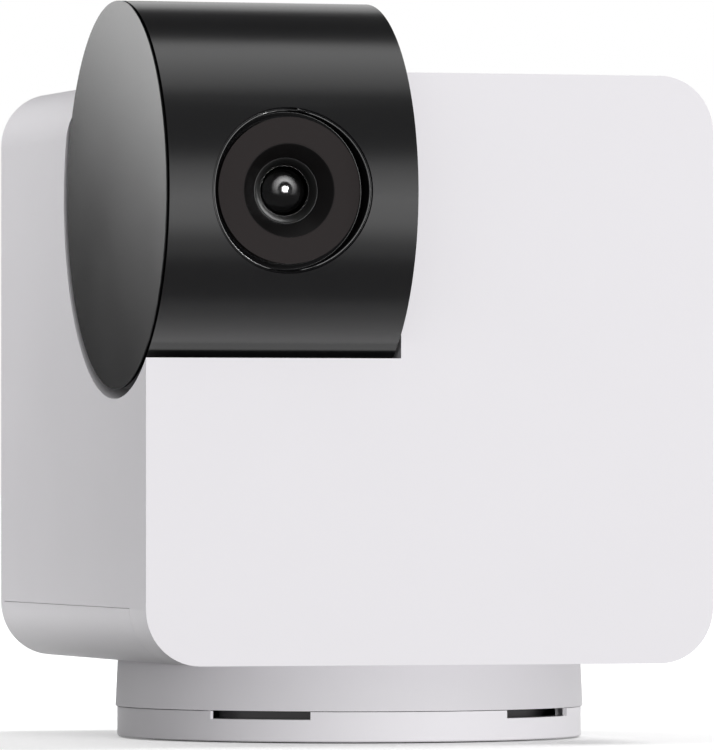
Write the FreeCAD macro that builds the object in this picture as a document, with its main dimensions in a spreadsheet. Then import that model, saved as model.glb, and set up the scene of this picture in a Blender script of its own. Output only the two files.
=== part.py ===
"""Pan and tilt pet camera: a white cube that turns on a low round base, with a black
camera head set into its upper left front edge.

Millimetres.  X points to the right of someone facing the camera, Y to its back, Z up.
The origin lies on the pan axis, on the surface that the rubber foot rests on.
"""
import FreeCAD, Part
import math
import os
import re

import Sketcher

Vector = FreeCAD.Vector
Rotation = FreeCAD.Rotation

doc = FreeCAD.newDocument("pet_camera")
sheet = doc.addObject("Spreadsheet::Sheet", "sizes")

# ---------------------------------------------------------------- driving dimensions
SIZES = {
    # cube-shaped housing
    "cube_width": 79.0,
    "cube_depth": 79.0,
    "cube_height": 79.0,
    "corner_round": 7.5,
    "shell_wall": 2.2,
    "back_thick": 2.0,
    "seam_gap": 0.06,
    "seam_rise": 7.6,
    "front_band": 8.5,
    "lip_depth": 3.0,
    "lip_wall": 1.2,
    # tilting head and the pocket that it turns in
    "head_radius": 26.0,
    "head_setback": 16.26,
    "head_drop": 16.15,
    "head_inset": 0.13,
    "head_wall": 1.8,
    "end_wall": 2.2,
    "notch_offset": 4.33,
    "side_gap": 0.51,
    "pocket_gap": 1.35,
    "pocket_wall": 2.0,
    "cap_thick": 1.05,
    "cap_land": 0.12,
    "cap_groove": 0.35,
    "groove_depth": 0.6,
    "spigot_length": 2.8,
    "hub_radius": 9.0,
    "hub_bore": 4.0,
    "tilt_wall": 1.5,
    "tilt_flange": 0.9,
    "flange_gap": 0.5,
    "tilt_up": 65.0,
    "tilt_down": 25.0,
    "stop_play": 1.5,
    "peg_circle": 18.0,
    "peg_radius": 1.4,
    "peg_length": 1.8,
    "hub_circle": 6.5,
    "hub_screw": 3.5,
    "flange_width": 1.5,
    # lens port in the head
    "port_radius": 11.0,
    "bezel_wall": 0.48,
    "bezel_foot": 0.3,
    "bezel_drop": 1.0,
    "bezel_sink": 0.15,
    "window_radius": 9.68,
    "window_sink": 1.76,
    "window_thick": 1.2,
    "shelf_width": 1.1,
    "shelf_thick": 1.5,
    "port_wall": 1.6,
    "port_reach": 4.0,
    "hood_radius": 6.2,
    "hood_lip": 0.1,
    "lens_radius": 4.4,
    "lens_sink": 3.4,
    "glass_radius": 3.3,
    "glass_sink": 4.1,
    "glass_rise": 0.5,
    "glass_seat": 1.5,
    "glass_curve": 5.5,
    "lens_length": 9.7,
    "lens_wall": 0.7,
    "lens_edge": 0.25,
    "inner_glass": 3.2,
    "inner_sink": 7.8,
    "holder_side": 16.0,
    "holder_depth": 7.0,
    "filter_side": 4.4,
    "filter_thick": 0.6,
    "filter_travel": 4.0,
    "filter_window": 1.8,
    "filter_edge": 0.4,
    "sensor_side": 22.0,
    "sensor_rise": 10.8,
    "sensor_thick": 1.2,
    "sensor_post": 1.9,
    "sensor_inset": 1.6,
    "sensor_screw": 4.0,
    "sensor_plug": 3.0,
    "cable_reach": 3.0,
    "chip_size": 6.0,
    "chip_rise": 0.7,
    "ir_board": 0.8,
    "led_circle": 7.4,
    "led_side": 1.4,
    "led_depth": 0.8,
    "led_count": 8.0,
    # round base
    "foot_rise": 0.2,
    "foot_groove": 0.8,
    "foot_outer": 29.5,
    "foot_inner": 24.5,
    "tray_radius": 31.9,
    "tray_height": 4.05,
    "tray_floor": 2.3,
    "tray_rim": 2.2,
    "edge_break": 0.15,
    "slot_height": 1.06,
    "slot_sweep": 26.5,
    "slot_turn": 38.9,
    "slot_skin": 0.6,
    "slot_room": 6.0,
    "pan_gap": 0.1,
    "skirt_taper": 0.3,
    "skirt_lip": 0.25,
    "skirt_inset": 3.0,
    "skirt_bearing": 80.0,
    "skirt_rib": 8.0,
    "boss_side": 2.2,
    "boss_drop": 3.5,
    "boss_floor": 0.6,
    "ballast_height": 2.0,
    "ballast_bore": 13.5,
    "boss_radius": 13.0,
    "ballast_gap": 0.2,
    "ballast_circle": 21.0,
    "ballast_screw": 1.5,
    "gear_rise": 3.5,
    "gear_circle": 10.0,
    "gear_screw": 4.0,
    "spindle_radius": 7.0,
    "insert_radius": 4.5,
    "insert_length": 8.0,
    "insert_end": 3.2,
    "insert_groove": 0.5,
    "thread_radius": 2.55,
    "stop_width": 1.1,
    "stop_gap": 0.3,
    "stop_rise": 4.0,
    "stop_sweep": 6.0,
    # pan bearing
    "glide_height": 0.5,
    "bush_wall": 2.0,
    "bush_flange": 1.1,
    "pan_flange": 0.5,
    "hub_wall": 2.9,
    "pan_rise": 4.1,
    "pan_play": 0.2,
    "retainer_height": 1.0,
    "retainer_edge": 1.0,
    "retainer_circle": 4.4,
    "retainer_screw": 5.0,
    # gears: one module for both pairs
    "tooth_module": 0.6,
    "tooth_play": 0.08,
    "gear_width": 3.0,
    "pan_teeth": 60.0,
    "tilt_teeth": 40.0,
    "pinion_teeth": 14.0,
    "pinion_bearing": 212.0,
    "tilt_bearing": 20.0,
    # geared stepper motors
    "motor_radius": 8.0,
    "motor_length": 15.0,
    "shaft_offset": 4.5,
    "shaft_radius": 1.25,
    "shaft_depth": 5.0,
    "nose_radius": 3.0,
    "nose_gap": 0.8,
    "ear_offset": 10.4,
    "ear_radius": 2.4,
    "ear_thick": 0.8,
    "socket_half": 2.8,
    "socket_out": 1.5,
    "socket_middle": 9.0,
    "socket_tall": 3.0,
    "motor_stand": 1.5,
    "motor_clear": 1.8,
    # clearances
    "run_gap": 0.1,
    "turn_play": 0.06,
    "fit_play": 0.03,
    "free_gap": 0.4,
    "root_depth": 0.5,
    "over_cut": 1.0,
    # screws
    "screw_radius": 0.9,
    "screw_head": 1.7,
    "head_height": 1.1,
    "screw_play": 0.04,
    "recess_reach": 1.0,
    "recess_half": 0.2,
    "post_radius": 3.0,
    "post_rise": 10.0,
    "post_inset": 10.5,
    "post_gap": 1.5,
    "sink_gap": 0.2,
    "corner_screw": 7.0,
    "motor_screw": 4.5,
    "stud_screw": 4.0,
    "floor_screw": 0.8,
    "rib_wall": 1.6,
    "rib_gap": 0.2,
    # boards and what they carry
    "board_thick": 1.6,
    "board_side": 31.0,
    "board_rise": 14.1,
    "board_drop": 5.5,
    "board_room": 11.9,
    "stud_radius": 2.5,
    "stud_inset": 4.0,
    "power_side": 14.0,
    "power_depth": 14.0,
    "power_rise": 2.7,
    "power_inset": 3.0,
    "power_setback": 2.3,
    "port_width": 8.94,
    "port_height": 3.2,
    "port_depth": 7.4,
    "port_shell": 0.35,
    "port_inset": 0.6,
    "port_end": 1.05,
    "tongue_half": 3.2,
    "tongue_inset": 0.7,
    "opening_gap": 0.25,
    "button_place": 10.0,
    "button_radius": 1.8,
    "button_gap": 0.3,
    "button_flange": 0.6,
    "flange_reach": 0.9,
    "plunger_radius": 0.7,
    "button_travel": 0.6,
    "pipe_radius": 1.0,
    "light_half": 0.8,
    "light_depth": 1.6,
    "speaker_radius": 14.0,
    "speaker_depth": 3.8,
    "speaker_rim": 1.6,
    "rim_depth": 1.2,
    "basket_wall": 0.6,
    "cone_start": 0.2,
    "cone_wall": 0.4,
    "cone_depth": 1.8,
    "dome_radius": 4.5,
    "dome_rise": 1.1,
    "speaker_height": 54.0,
    "magnet_radius": 7.0,
    "magnet_depth": 3.0,
    "grille_hole": 0.7,
    "grille_pitch": 2.6,
    "boot_bore": 0.6,
    "boot_radius": 2.0,
    "voice_place": 20.0,
    "voice_height": 36.0,
    "voice_thick": 1.0,
    "voice_half": 1.8,
    "voice_low": 1.4,
    # electronics on the boards
    "chip_side": 14.0,
    "chip_thick": 1.4,
    "chip_place": 11.0,
    "chip_height": 45.0,
    "small_chip": 8.0,
    "small_gap": 2.0,
    "sink_base": 1.2,
    "fin_wall": 0.8,
    "fin_height": 4.0,
    "fin_count": 6.0,
    "shield_width": 16.0,
    "shield_height": 14.0,
    "shield_thick": 2.4,
    "shield_place": 18.0,
    "shield_floor": 60.0,
    "plug_width": 7.0,
    "plug_height": 4.0,
    "plug_depth": 4.5,
    "plug_floor": 30.0,
    "head_plug": 16.0,
    "speaker_plug": 36.0,
    "antenna_width": 20.0,
    "antenna_height": 12.0,
    "antenna_thick": 0.4,
    "lead_radius": 0.9,
    "head_lead": 1.3,
    "thin_lead": 0.5,
    "lead_run": 7.0,
    "tilt_lead_drop": 9.0,
    "tilt_lead_bend": 12.0,
    "tilt_lead_rise": 16.0,
    "antenna_bend": 8.0,
    "antenna_rise": 2.0,
    "antenna_spot": 14.0,
}
for row, (name, number) in enumerate(SIZES.items(), start=1):
    sheet.set(f"A{row}", name)
    sheet.set(f"B{row}", str(number))
    sheet.setAlias(f"B{row}", name)
doc.recompute()

# ------------------------------------------------- heights and places that follow them
SIDE = "(cube_width / 2)"
FRONT = "(0 - cube_depth / 2)"
BACK = "(cube_depth / 2)"
INNER_SIDE = "(cube_width / 2 - shell_wall)"
INNER_FRONT = "(shell_wall - cube_depth / 2)"
INNER_BACK = "(cube_depth / 2 - back_thick)"

TRAY_FLOOR = "(foot_rise + tray_floor)"
TRAY_TOP = "(foot_rise + tray_height)"
SKIRT_FOOT = f"({TRAY_TOP} + pan_gap)"
SKIRT_BORE = "(tray_radius - tray_rim + stop_gap)"
GEAR_SEAT = f"({TRAY_FLOOR} + gear_rise)"
GEAR_TOP = f"({GEAR_SEAT} + gear_width)"
GLIDE_TOP = f"({GEAR_TOP} + glide_height)"
CUBE_FLOOR = f"({GLIDE_TOP} + run_gap + bush_flange)"
CUBE_TOP = f"({CUBE_FLOOR} + cube_height)"
FLOOR_TOP = f"({CUBE_FLOOR} + shell_wall)"
SEAM = f"({CUBE_FLOOR} + seam_rise)"
HUB_TOP = f"({FLOOR_TOP} + pan_rise)"
SPINDLE_TOP = f"({HUB_TOP} + pan_play)"
RETAINER_TOP = f"({SPINDLE_TOP} + retainer_height)"
BAND_BACK = f"({FRONT} + front_band)"
SKIRT_CIRCLE = f"(0 - {BAND_BACK} - skirt_inset)"

TILT_Y = f"({FRONT} + head_setback)"
TILT_Z = f"({CUBE_TOP} - head_drop)"
CAP_FACE = f"(head_inset - {SIDE})"
BARREL_LEFT = f"({CAP_FACE} + cap_land + cap_groove)"
NOTCH_LEFT = "(0 - notch_offset)"
NOTCH_RIGHT = "(shell_wall - notch_offset)"
BARREL_RIGHT = f"({NOTCH_LEFT} - side_gap)"
POCKET = "(head_radius + pocket_gap)"
TILT_FLANGE = f"({NOTCH_RIGHT} + tilt_flange)"
TILT_SEAT = f"({TILT_FLANGE} + flange_gap)"
TILT_GEAR_END = f"({TILT_SEAT} + gear_width)"
LENS_X = f"(({CAP_FACE} + {BARREL_RIGHT}) / 2)"

BOARD_BACK = f"({INNER_BACK} - board_room)"
BOARD_FRONT = f"({BOARD_BACK} - board_thick)"
BOARD_FLOOR = f"({FLOOR_TOP} + board_rise)"
BOARD_TOP = f"({CUBE_TOP} - shell_wall - board_drop)"
POWER_FLOOR = f"({FLOOR_TOP} + power_rise)"
POWER_TOP = f"({POWER_FLOOR} + board_thick)"
POWER_BACK = f"({INNER_BACK} - power_setback)"
PORT_AXIS = f"({POWER_TOP} + port_height / 2)"

UP = Rotation()
DOWN = Rotation(Vector(1, 0, 0), 180)
RIGHT = Rotation(Vector(0, 1, 0), 90)
FORWARD = Rotation(Vector(1, 0, 0), 90)
BACKWARD = Rotation(Vector(1, 0, 0), -90)
# local Z to the left, local Y down, local X to the back
LEFT = Rotation(Vector(0, 1, 0), Vector(0, 0, -1), Vector(-1, 0, 0), "ZYX")


# --------------------------------------------------------------------------- helpers
def tied(words):
    """The same sum with each size led by its sheet's name: every size has an underscore."""
    return re.sub(r"[a-z]+(?:_[a-z]+)+", r"sizes.\g<0>", str(words))


def value(words):
    """What a sum of sizes comes to now, as a number."""
    result = sheet.evalExpression(tied(words))
    return float(getattr(result, "Value", result))


def bind(thing, **sums):
    """Tie an object's properties to sums of sizes."""
    for name, words in sums.items():
        thing.setExpression(name, tied(words))


def place(thing, x="0", y="0", z="0", facing=UP):
    """Put an object's own origin at (x, y, z), with its local Z axis turned to face a way."""
    thing.Placement = FreeCAD.Placement(Vector(), facing)
    for axis, words in zip("xyz", (x, y, z)):
        thing.setExpression(f"Placement.Base.{axis}", tied(words))
    return thing


def rod(name, radius, length, x="0", y="0", z="0", facing=UP):
    """A round bar from (x, y, z) on, along the way that it faces."""
    piece = doc.addObject("Part::Cylinder", name)
    bind(piece, Radius=radius, Height=length)
    return place(piece, x, y, z, facing)


def block(name, x, y, z):
    """A box between a low and a high value on each axis."""
    piece = doc.addObject("Part::Box", name)
    (x_low, x_high), (y_low, y_high), (z_low, z_high) = x, y, z
    bind(piece, Length=f"({x_high}) - ({x_low})", Width=f"({y_high}) - ({y_low})",
         Height=f"({z_high}) - ({z_low})")
    return place(piece, x_low, y_low, z_low)


def around(x, half_width):
    """The low and the high value of a span about its middle."""
    return f"({x}) - ({half_width})", f"({x}) + ({half_width})"


def joined(name, *pieces):
    """Several objects as one."""
    result = doc.addObject("Part::MultiFuse", name)
    result.Shapes = list(pieces)
    result.Refine = True
    return result


def group(name, *pieces):
    """Several separate solids under one name."""
    result = doc.addObject("Part::Compound", name)
    result.Links = list(pieces)
    return result


def cut(name, piece, *tools):
    """An object less one or more others."""
    result = doc.addObject("Part::Cut", name)
    result.Base = piece
    result.Tool = tools[0] if len(tools) == 1 else joined(f"{name}_tools", *tools)
    result.Refine = True
    return result


def common(name, first, second):
    """What two objects share."""
    result = doc.addObject("Part::Common", name)
    result.Base = first
    result.Tool = second
    result.Refine = True
    return result


def sector(name, inner, outer, length, z, middle, sweep):
    """Part of a ring about the Z axis, `sweep` degrees wide about the bearing `middle`."""
    wedge = doc.addObject("Part::Cylinder", f"{name}_wedge")
    bind(wedge, Radius=outer, Height=length, Angle=sweep)
    place(wedge, z=z, facing=Rotation(Vector(0, 0, 1), 1))
    wedge.setExpression("Placement.Rotation.Angle", tied(f"({middle}) - ({sweep}) / 2"))
    core = rod(f"{name}_core", inner, f"({length}) + over_cut * 2", z=f"({z}) - over_cut")
    return cut(name, wedge, core)


def origin_plane(body, role):
    """One of a body's own origin planes."""
    return next(item for item in body.Origin.OriginFeatures if item.Role == role)


def outline_sketch(body, name, role, corners):
    """A closed outline of straight lines, each corner tied to its own pair of sums."""
    sketch = body.newObject("Sketcher::SketchObject", name)
    sketch.AttachmentSupport = (origin_plane(body, role), [""])
    sketch.MapMode = "FlatFace"
    points = [Vector(value(across), value(along), 0) for across, along in corners]
    count = len(points)
    for index, point in enumerate(points):
        sketch.addGeometry(Part.LineSegment(point, points[(index + 1) % count]), False)
    for index in range(count):
        sketch.addConstraint(Sketcher.Constraint("Coincident", index, 2, (index + 1) % count, 1))
    for index, (corner, point) in enumerate(zip(corners, points)):
        for kind, words, number in zip(("DistanceX", "DistanceY"), corner, point):
            place_in_list = sketch.addConstraint(
                Sketcher.Constraint(kind, -1, 1, index, 1, number))
            sketch.setExpression(f"Constraints[{place_in_list}]", tied(words))
    return sketch


def turned(name, corners, x="0", y="0", z="0", facing=UP):
    """A piece turned on a lathe: corners are (radius, distance along the axis)."""
    body = doc.addObject("PartDesign::Body", name)
    sketch = outline_sketch(body, f"{name}_profile", "XZ_Plane", corners)
    turn = body.newObject("PartDesign::Revolution", f"{name}_turn")
    turn.Profile = sketch
    turn.ReferenceAxis = (sketch, ["V_Axis"])
    turn.Angle = 360
    doc.recompute()
    return place(body, x, y, z, facing)


def tube(name, inner, outer, low, high, **where):
    """A turned ring of square section."""
    return turned(name, [(inner, low), (outer, low), (outer, high), (inner, high)], **where)


def rounded_bar(name, x, y, z, radius):
    """A bar along Y whose four long edges are rounded."""
    body = doc.addObject("PartDesign::Body", name)
    (x_low, x_high), (y_low, y_high), (z_low, z_high) = x, y, z
    corners = [(x_low, z_low), (x_high, z_low), (x_high, z_high), (x_low, z_high)]
    sketch = outline_sketch(body, f"{name}_section", "XZ_Plane", corners)
    bar = body.newObject("PartDesign::Pad", f"{name}_bar")
    bar.Profile = sketch
    bar.Reversed = True
    bind(bar, Length=f"({y_high}) - ({y_low})")
    doc.recompute()
    long_edges = [f"Edge{number}" for number, edge in enumerate(bar.Shape.Edges, start=1)
                  if abs(edge.tangentAt(edge.FirstParameter).y) > 0.99]
    rounding = body.newObject("PartDesign::Fillet", f"{name}_rounding")
    rounding.Base = (bar, long_edges)
    bind(rounding, Radius=radius)
    doc.recompute()
    return place(body, y=y_low)


def cube_bar(name, y, inset):
    """The cube's rounded outline, `inset` smaller all round, between two values of Y."""
    return rounded_bar(name, (f"({inset}) - {SIDE}", f"{SIDE} - ({inset})"), y,
                       (f"{CUBE_FLOOR} + ({inset})", f"{CUBE_TOP} - ({inset})"),
                       f"corner_round - ({inset})")


def screw(name, length, x="0", y="0", z="0", facing=UP):
    """A pan-head screw with a cross recess; its origin is under the head, which faces `facing`."""
    head = rod(f"{name}_head", "screw_head", "head_height")
    shank = rod(f"{name}_shank", "screw_radius", length, z=f"0 - ({length})")
    slots = [block(f"{name}_slot_{index}", *sides)
             for index, sides in enumerate((
                 (around(0, "recess_reach"), around(0, "recess_half"),
                  ("head_height / 2", "head_height + over_cut")),
                 (around(0, "recess_half"), around(0, "recess_reach"),
                  ("head_height / 2", "head_height + over_cut"))))]
    whole = cut(f"{name}_cut", joined(f"{name}_blank", head, shank), *slots)
    return place(whole, x, y, z, facing)


def screw_hole(name, length, x="0", y="0", z="0", facing=UP):
    """The hole that a screw's shank of this length goes into, a little deeper."""
    return rod(name, "screw_radius + screw_play", f"({length}) + over_cut", x, y, z, facing)


def involute(angle_cosine):
    """The involute function of the pressure angle with this cosine."""
    angle = math.acos(angle_cosine)
    return math.tan(angle) - angle


def spur_gear(name, teeth_name, length, x, y, z, facing, turn):
    """A spur gear of stub teeth, with a tooth on the bearing `turn` (degrees)."""
    teeth = round(value(teeth_name))
    module = value("tooth_module")
    pitch = module * teeth / 2
    base = pitch * math.cos(math.radians(20))
    tip = pitch + 0.8 * module
    root = pitch - 1.05 * module
    half_pitch = math.pi / (2 * teeth) - value("tooth_play") / (2 * pitch)
    start = max(root, base)

    def flank_angle(radius):
        return half_pitch + involute(base / pitch) - involute(min(1.0, base / radius))

    def at(radius, angle):
        return Vector(radius * math.cos(angle), radius * math.sin(angle), 0)

    edges = []
    for index in range(teeth):
        middle = 2 * math.pi * index / teeth
        flank = [(radius, flank_angle(radius)) for radius in (start, (start + tip) / 2, tip)]
        (_, wide), _, (_, narrow) = flank
        rising = [at(radius, middle - angle) for radius, angle in flank]
        falling = [at(radius, middle + angle) for radius, angle in reversed(flank)]
        if start > root:
            edges.append(Part.LineSegment(at(root, middle - wide), rising[0]))
        edges.append(Part.Arc(*rising))
        edges.append(Part.Arc(rising[2], at(tip, middle), falling[0]))
        edges.append(Part.Arc(*falling))
        if start > root:
            edges.append(Part.LineSegment(falling[2], at(root, middle + wide)))
        following = middle + 2 * math.pi / teeth
        edges.append(Part.Arc(at(root, middle + wide), at(root, (middle + following) / 2),
                              at(root, following - wide)))
    face = Part.Face(Part.Wire([edge.toShape() for edge in edges]))
    gear = doc.addObject("Part::Feature", name)
    gear.Shape = face.extrude(Vector(0, 0, value(length)))
    place(gear, x, y, z, facing.multiply(Rotation(Vector(0, 0, 1), turn)))
    return gear


def lead(name, radius, route):
    """A cable along straight runs joined by arcs; the route is a list of (x, y, z) sums."""
    points = [Vector(*(value(words) for words in place)) for place in route]
    pieces = []
    begin = points[0]
    for before, corner, after in zip(points, points[1:], points[2:]):
        inward = (corner - before).normalize()
        onward = (after - corner).normalize()
        setback = 0.45 * min((corner - before).Length, (after - corner).Length)
        arc_start = corner - inward * setback
        arc_end = corner + onward * setback
        bend = setback / math.tan(inward.getAngle(onward) / 2)
        centre = corner + (onward - inward).normalize() * math.hypot(bend, setback)
        middle = centre + (corner - centre).normalize() * bend
        pieces.append(Part.LineSegment(begin, arc_start).toShape())
        pieces.append(Part.Arc(arc_start, middle, arc_end).toShape())
        begin = arc_end
    pieces.append(Part.LineSegment(begin, points[-1]).toShape())
    section = Part.Wire(Part.makeCircle(value(radius), points[0], points[1] - points[0]))
    cable = doc.addObject("Part::Feature", name)
    cable.Shape = Part.Wire(pieces).makePipeShell([section], True, True)
    return cable


subparts = []


def keep(label, thing):
    """Give a finished sub-part the name that its file and node have."""
    thing.Label = label
    subparts.append(thing)
    return thing

# ------------------------------------------------------------------------ round base
def make_foot():
    """Soft ring in a groove of the tray, on which the camera stands."""
    keep("foot_pad", tube("foot_pad", "foot_inner + fit_play", "foot_outer - fit_play",
                          "0", "foot_rise + foot_groove"))


def make_tray():
    """Lower ring with the hollow spindle that the cube turns on."""
    rim = "(tray_radius - tray_rim)"
    body = turned("tray_turned", [
        ("insert_radius + fit_play", "foot_rise"),
        ("foot_inner", "foot_rise"),
        ("foot_inner", "foot_rise + foot_groove"),
        ("foot_outer", "foot_rise + foot_groove"),
        ("foot_outer", "foot_rise"),
        ("tray_radius - edge_break", "foot_rise"),
        ("tray_radius", "foot_rise + edge_break"),
        ("tray_radius", TRAY_TOP),
        (rim, TRAY_TOP),
        (rim, TRAY_FLOOR),
        ("boss_radius", TRAY_FLOOR),
        ("boss_radius", GEAR_SEAT),
        ("spindle_radius", GEAR_SEAT),
        ("spindle_radius", SPINDLE_TOP),
        ("0", SPINDLE_TOP),
        ("0", "foot_rise + insert_length"),
        ("insert_radius + fit_play", "foot_rise + insert_length"),
    ])
    stop = sector("tray_stop", f"{SKIRT_BORE} - stop_gap - stop_width", rim, "stop_rise",
                  TRAY_FLOOR, "90", "stop_sweep")
    slots = []
    for side, sign in (("left", "-"), ("right", "+")):
        for part, outer, sweep in (("skin", "tray_radius + over_cut", "slot_sweep"),
                                   ("room", "tray_radius - slot_skin", "slot_sweep + slot_room")):
            slots.append(sector(f"tray_slot_{part}_{side}", f"{rim} - over_cut", outer,
                                "slot_height + over_cut", f"{TRAY_TOP} - slot_height",
                                f"270 {sign} slot_turn", sweep))
    holes = []
    for index in range(3):
        spot = (f"retainer_circle * cos({120 * index})", f"retainer_circle * sin({120 * index})")
        holes.append(screw_hole(f"retainer_hole_{index}", "retainer_screw",
                                *spot, SPINDLE_TOP, DOWN))
        spot = (f"gear_circle * cos({120 * index + 60})", f"gear_circle * sin({120 * index + 60})")
        holes.append(screw_hole(f"gear_hole_{index}", "gear_screw", *spot, GEAR_SEAT, DOWN))
        spot = (f"ballast_circle * cos({120 * index})", f"ballast_circle * sin({120 * index})")
        holes.append(rod(f"ballast_hole_{index}", "screw_radius + screw_play", "ballast_screw",
                         *spot, TRAY_FLOOR, DOWN))
    keep("base_tray", cut("base_tray", joined("tray_blank", body, stop), *slots, *holes))


base_screws = []


def make_ballast():
    """Steel ring that keeps the camera from tipping, and the screws that hold it."""
    ring = tube("ballast_ring", "ballast_bore",
                f"{SKIRT_BORE} - stop_gap - stop_width - ballast_gap",
                TRAY_FLOOR, f"{TRAY_FLOOR} + ballast_height")
    holes = []
    for index in range(3):
        spot = (f"ballast_circle * cos({120 * index})", f"ballast_circle * sin({120 * index})")
        holes.append(rod(f"ballast_clear_{index}", "screw_radius + screw_play",
                         "ballast_height + over_cut * 2", *spot, f"{TRAY_FLOOR} - over_cut"))
        base_screws.append(screw(f"ballast_screw_{index}",
                                 "ballast_height + ballast_screw - sink_gap",
                                 *spot, f"{TRAY_FLOOR} + ballast_height"))
    keep("ballast_plate", cut("ballast_plate", ring, *holes))


def make_insert():
    """Brass threaded insert for a tripod or wall bracket, open at the underside."""
    keep("tripod_insert", turned("tripod_insert", [
        ("thread_radius", "foot_rise"),
        ("insert_radius", "foot_rise"),
        ("insert_radius", "foot_rise + insert_end"),
        ("insert_radius - insert_groove", "foot_rise + insert_end + insert_groove"),
        ("insert_radius - insert_groove",
         "foot_rise + insert_length - insert_end - insert_groove"),
        ("insert_radius", "foot_rise + insert_length - insert_end"),
        ("insert_radius", "foot_rise + insert_length"),
        ("thread_radius", "foot_rise + insert_length"),
    ]))


def make_pan_gear():
    """Fixed gear that the cube's pinion walks round, its screws, and the ring above it."""
    gear = spur_gear("pan_gear_teeth", "pan_teeth", "gear_width", "0", "0", GEAR_SEAT, UP,
                     value("pinion_bearing"))
    tools = [rod("pan_gear_bore", "spindle_radius + fit_play", "gear_width + over_cut * 2",
                 z=f"{GEAR_SEAT} - over_cut")]
    sunk = f"{GEAR_TOP} - head_height - run_gap"
    for index in range(3):
        spot = (f"gear_circle * cos({120 * index + 60})", f"gear_circle * sin({120 * index + 60})")
        tools.append(rod(f"pan_gear_clear_{index}", "screw_radius + screw_play",
                         "gear_width + over_cut * 2", *spot, f"{GEAR_SEAT} - over_cut"))
        tools.append(rod(f"pan_gear_sink_{index}", "screw_head + sink_gap", "gear_width",
                         *spot, sunk))
        base_screws.append(screw(f"pan_gear_screw_{index}",
                                 "gear_width - head_height - run_gap + gear_screw", *spot, sunk))
    keep("pan_gear", cut("pan_gear", gear, *tools))
    keep("glide_ring", tube("glide_ring", "spindle_radius + fit_play",
                            "gear_circle - screw_head - sink_gap", GEAR_TOP, GLIDE_TOP))


def make_retainer():
    """Washer on top of the spindle that keeps the cube from lifting off."""
    washer = rod("retainer_disc", "spindle_radius + bush_wall + retainer_edge",
                 "retainer_height", z=SPINDLE_TOP)
    holes = []
    for index in range(3):
        spot = (f"retainer_circle * cos({120 * index})", f"retainer_circle * sin({120 * index})")
        holes.append(rod(f"retainer_clear_{index}", "screw_radius + screw_play",
                         "retainer_height + over_cut * 2", *spot, f"{SPINDLE_TOP} - over_cut"))
        base_screws.append(screw(f"retainer_screw_{index}", "retainer_height + retainer_screw",
                                 *spot, RETAINER_TOP))
    keep("pan_retainer", cut("pan_retainer", washer, *holes))
    keep("base_screws", group("base_screws", *base_screws))


# --------------------------------------------------------------------- turning cube
CORNERS = [("left_front", "-", "front"), ("right_front", "+", "front"),
           ("left_back", "-", "back"), ("right_back", "+", "back")]


def post_spot(side, end):
    """Where a corner post of the cube stands."""
    x = f"(0 {side} ({SIDE} - post_inset))"
    y = f"({BAND_BACK} + post_radius + post_gap)" if end == "front" else f"({BACK} - post_inset)"
    return x, y


def skirt_spot(index):
    """Where one of the skirt's four bosses stands."""
    bearing = f"skirt_bearing + {90 * index}"
    return f"{SKIRT_CIRCLE} * cos({bearing})", f"{SKIRT_CIRCLE} * sin({bearing})"


def make_skirt():
    """Upper ring under the cube, which turns with it and hides the gears."""
    ring = turned("skirt_turned", [
        (SKIRT_BORE, SKIRT_FOOT),
        ("tray_radius + skirt_lip", SKIRT_FOOT),
        ("tray_radius + skirt_lip - skirt_taper", CUBE_FLOOR),
        (SKIRT_BORE, CUBE_FLOOR),
    ])
    into_ring = f"{SKIRT_BORE} + root_depth"
    rib = sector("skirt_stop", f"{SKIRT_BORE} - stop_gap - stop_width", into_ring,
                 f"{CUBE_FLOOR} - ({SKIRT_FOOT}) - stop_gap", f"{SKIRT_FOOT} + stop_gap",
                 "270", "stop_sweep * 2")
    bosses, holes = [], []
    for index in range(4):
        spot = skirt_spot(index)
        low = f"({CUBE_FLOOR} - boss_drop)"
        bosses.append(rod(f"skirt_boss_{index}", "boss_side", "boss_drop", *spot, low))
        bosses.append(sector(f"skirt_rib_{index}", SKIRT_CIRCLE, into_ring, "boss_drop", low,
                             f"skirt_bearing + {90 * index}", "skirt_rib"))
        holes.append(rod(f"skirt_hole_{index}", "screw_radius + screw_play",
                         "boss_drop - boss_floor", *spot, CUBE_FLOOR, DOWN))
    keep("turntable_skirt", cut("turntable_skirt", joined("skirt_blank", ring, rib, *bosses),
                                *holes))


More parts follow.
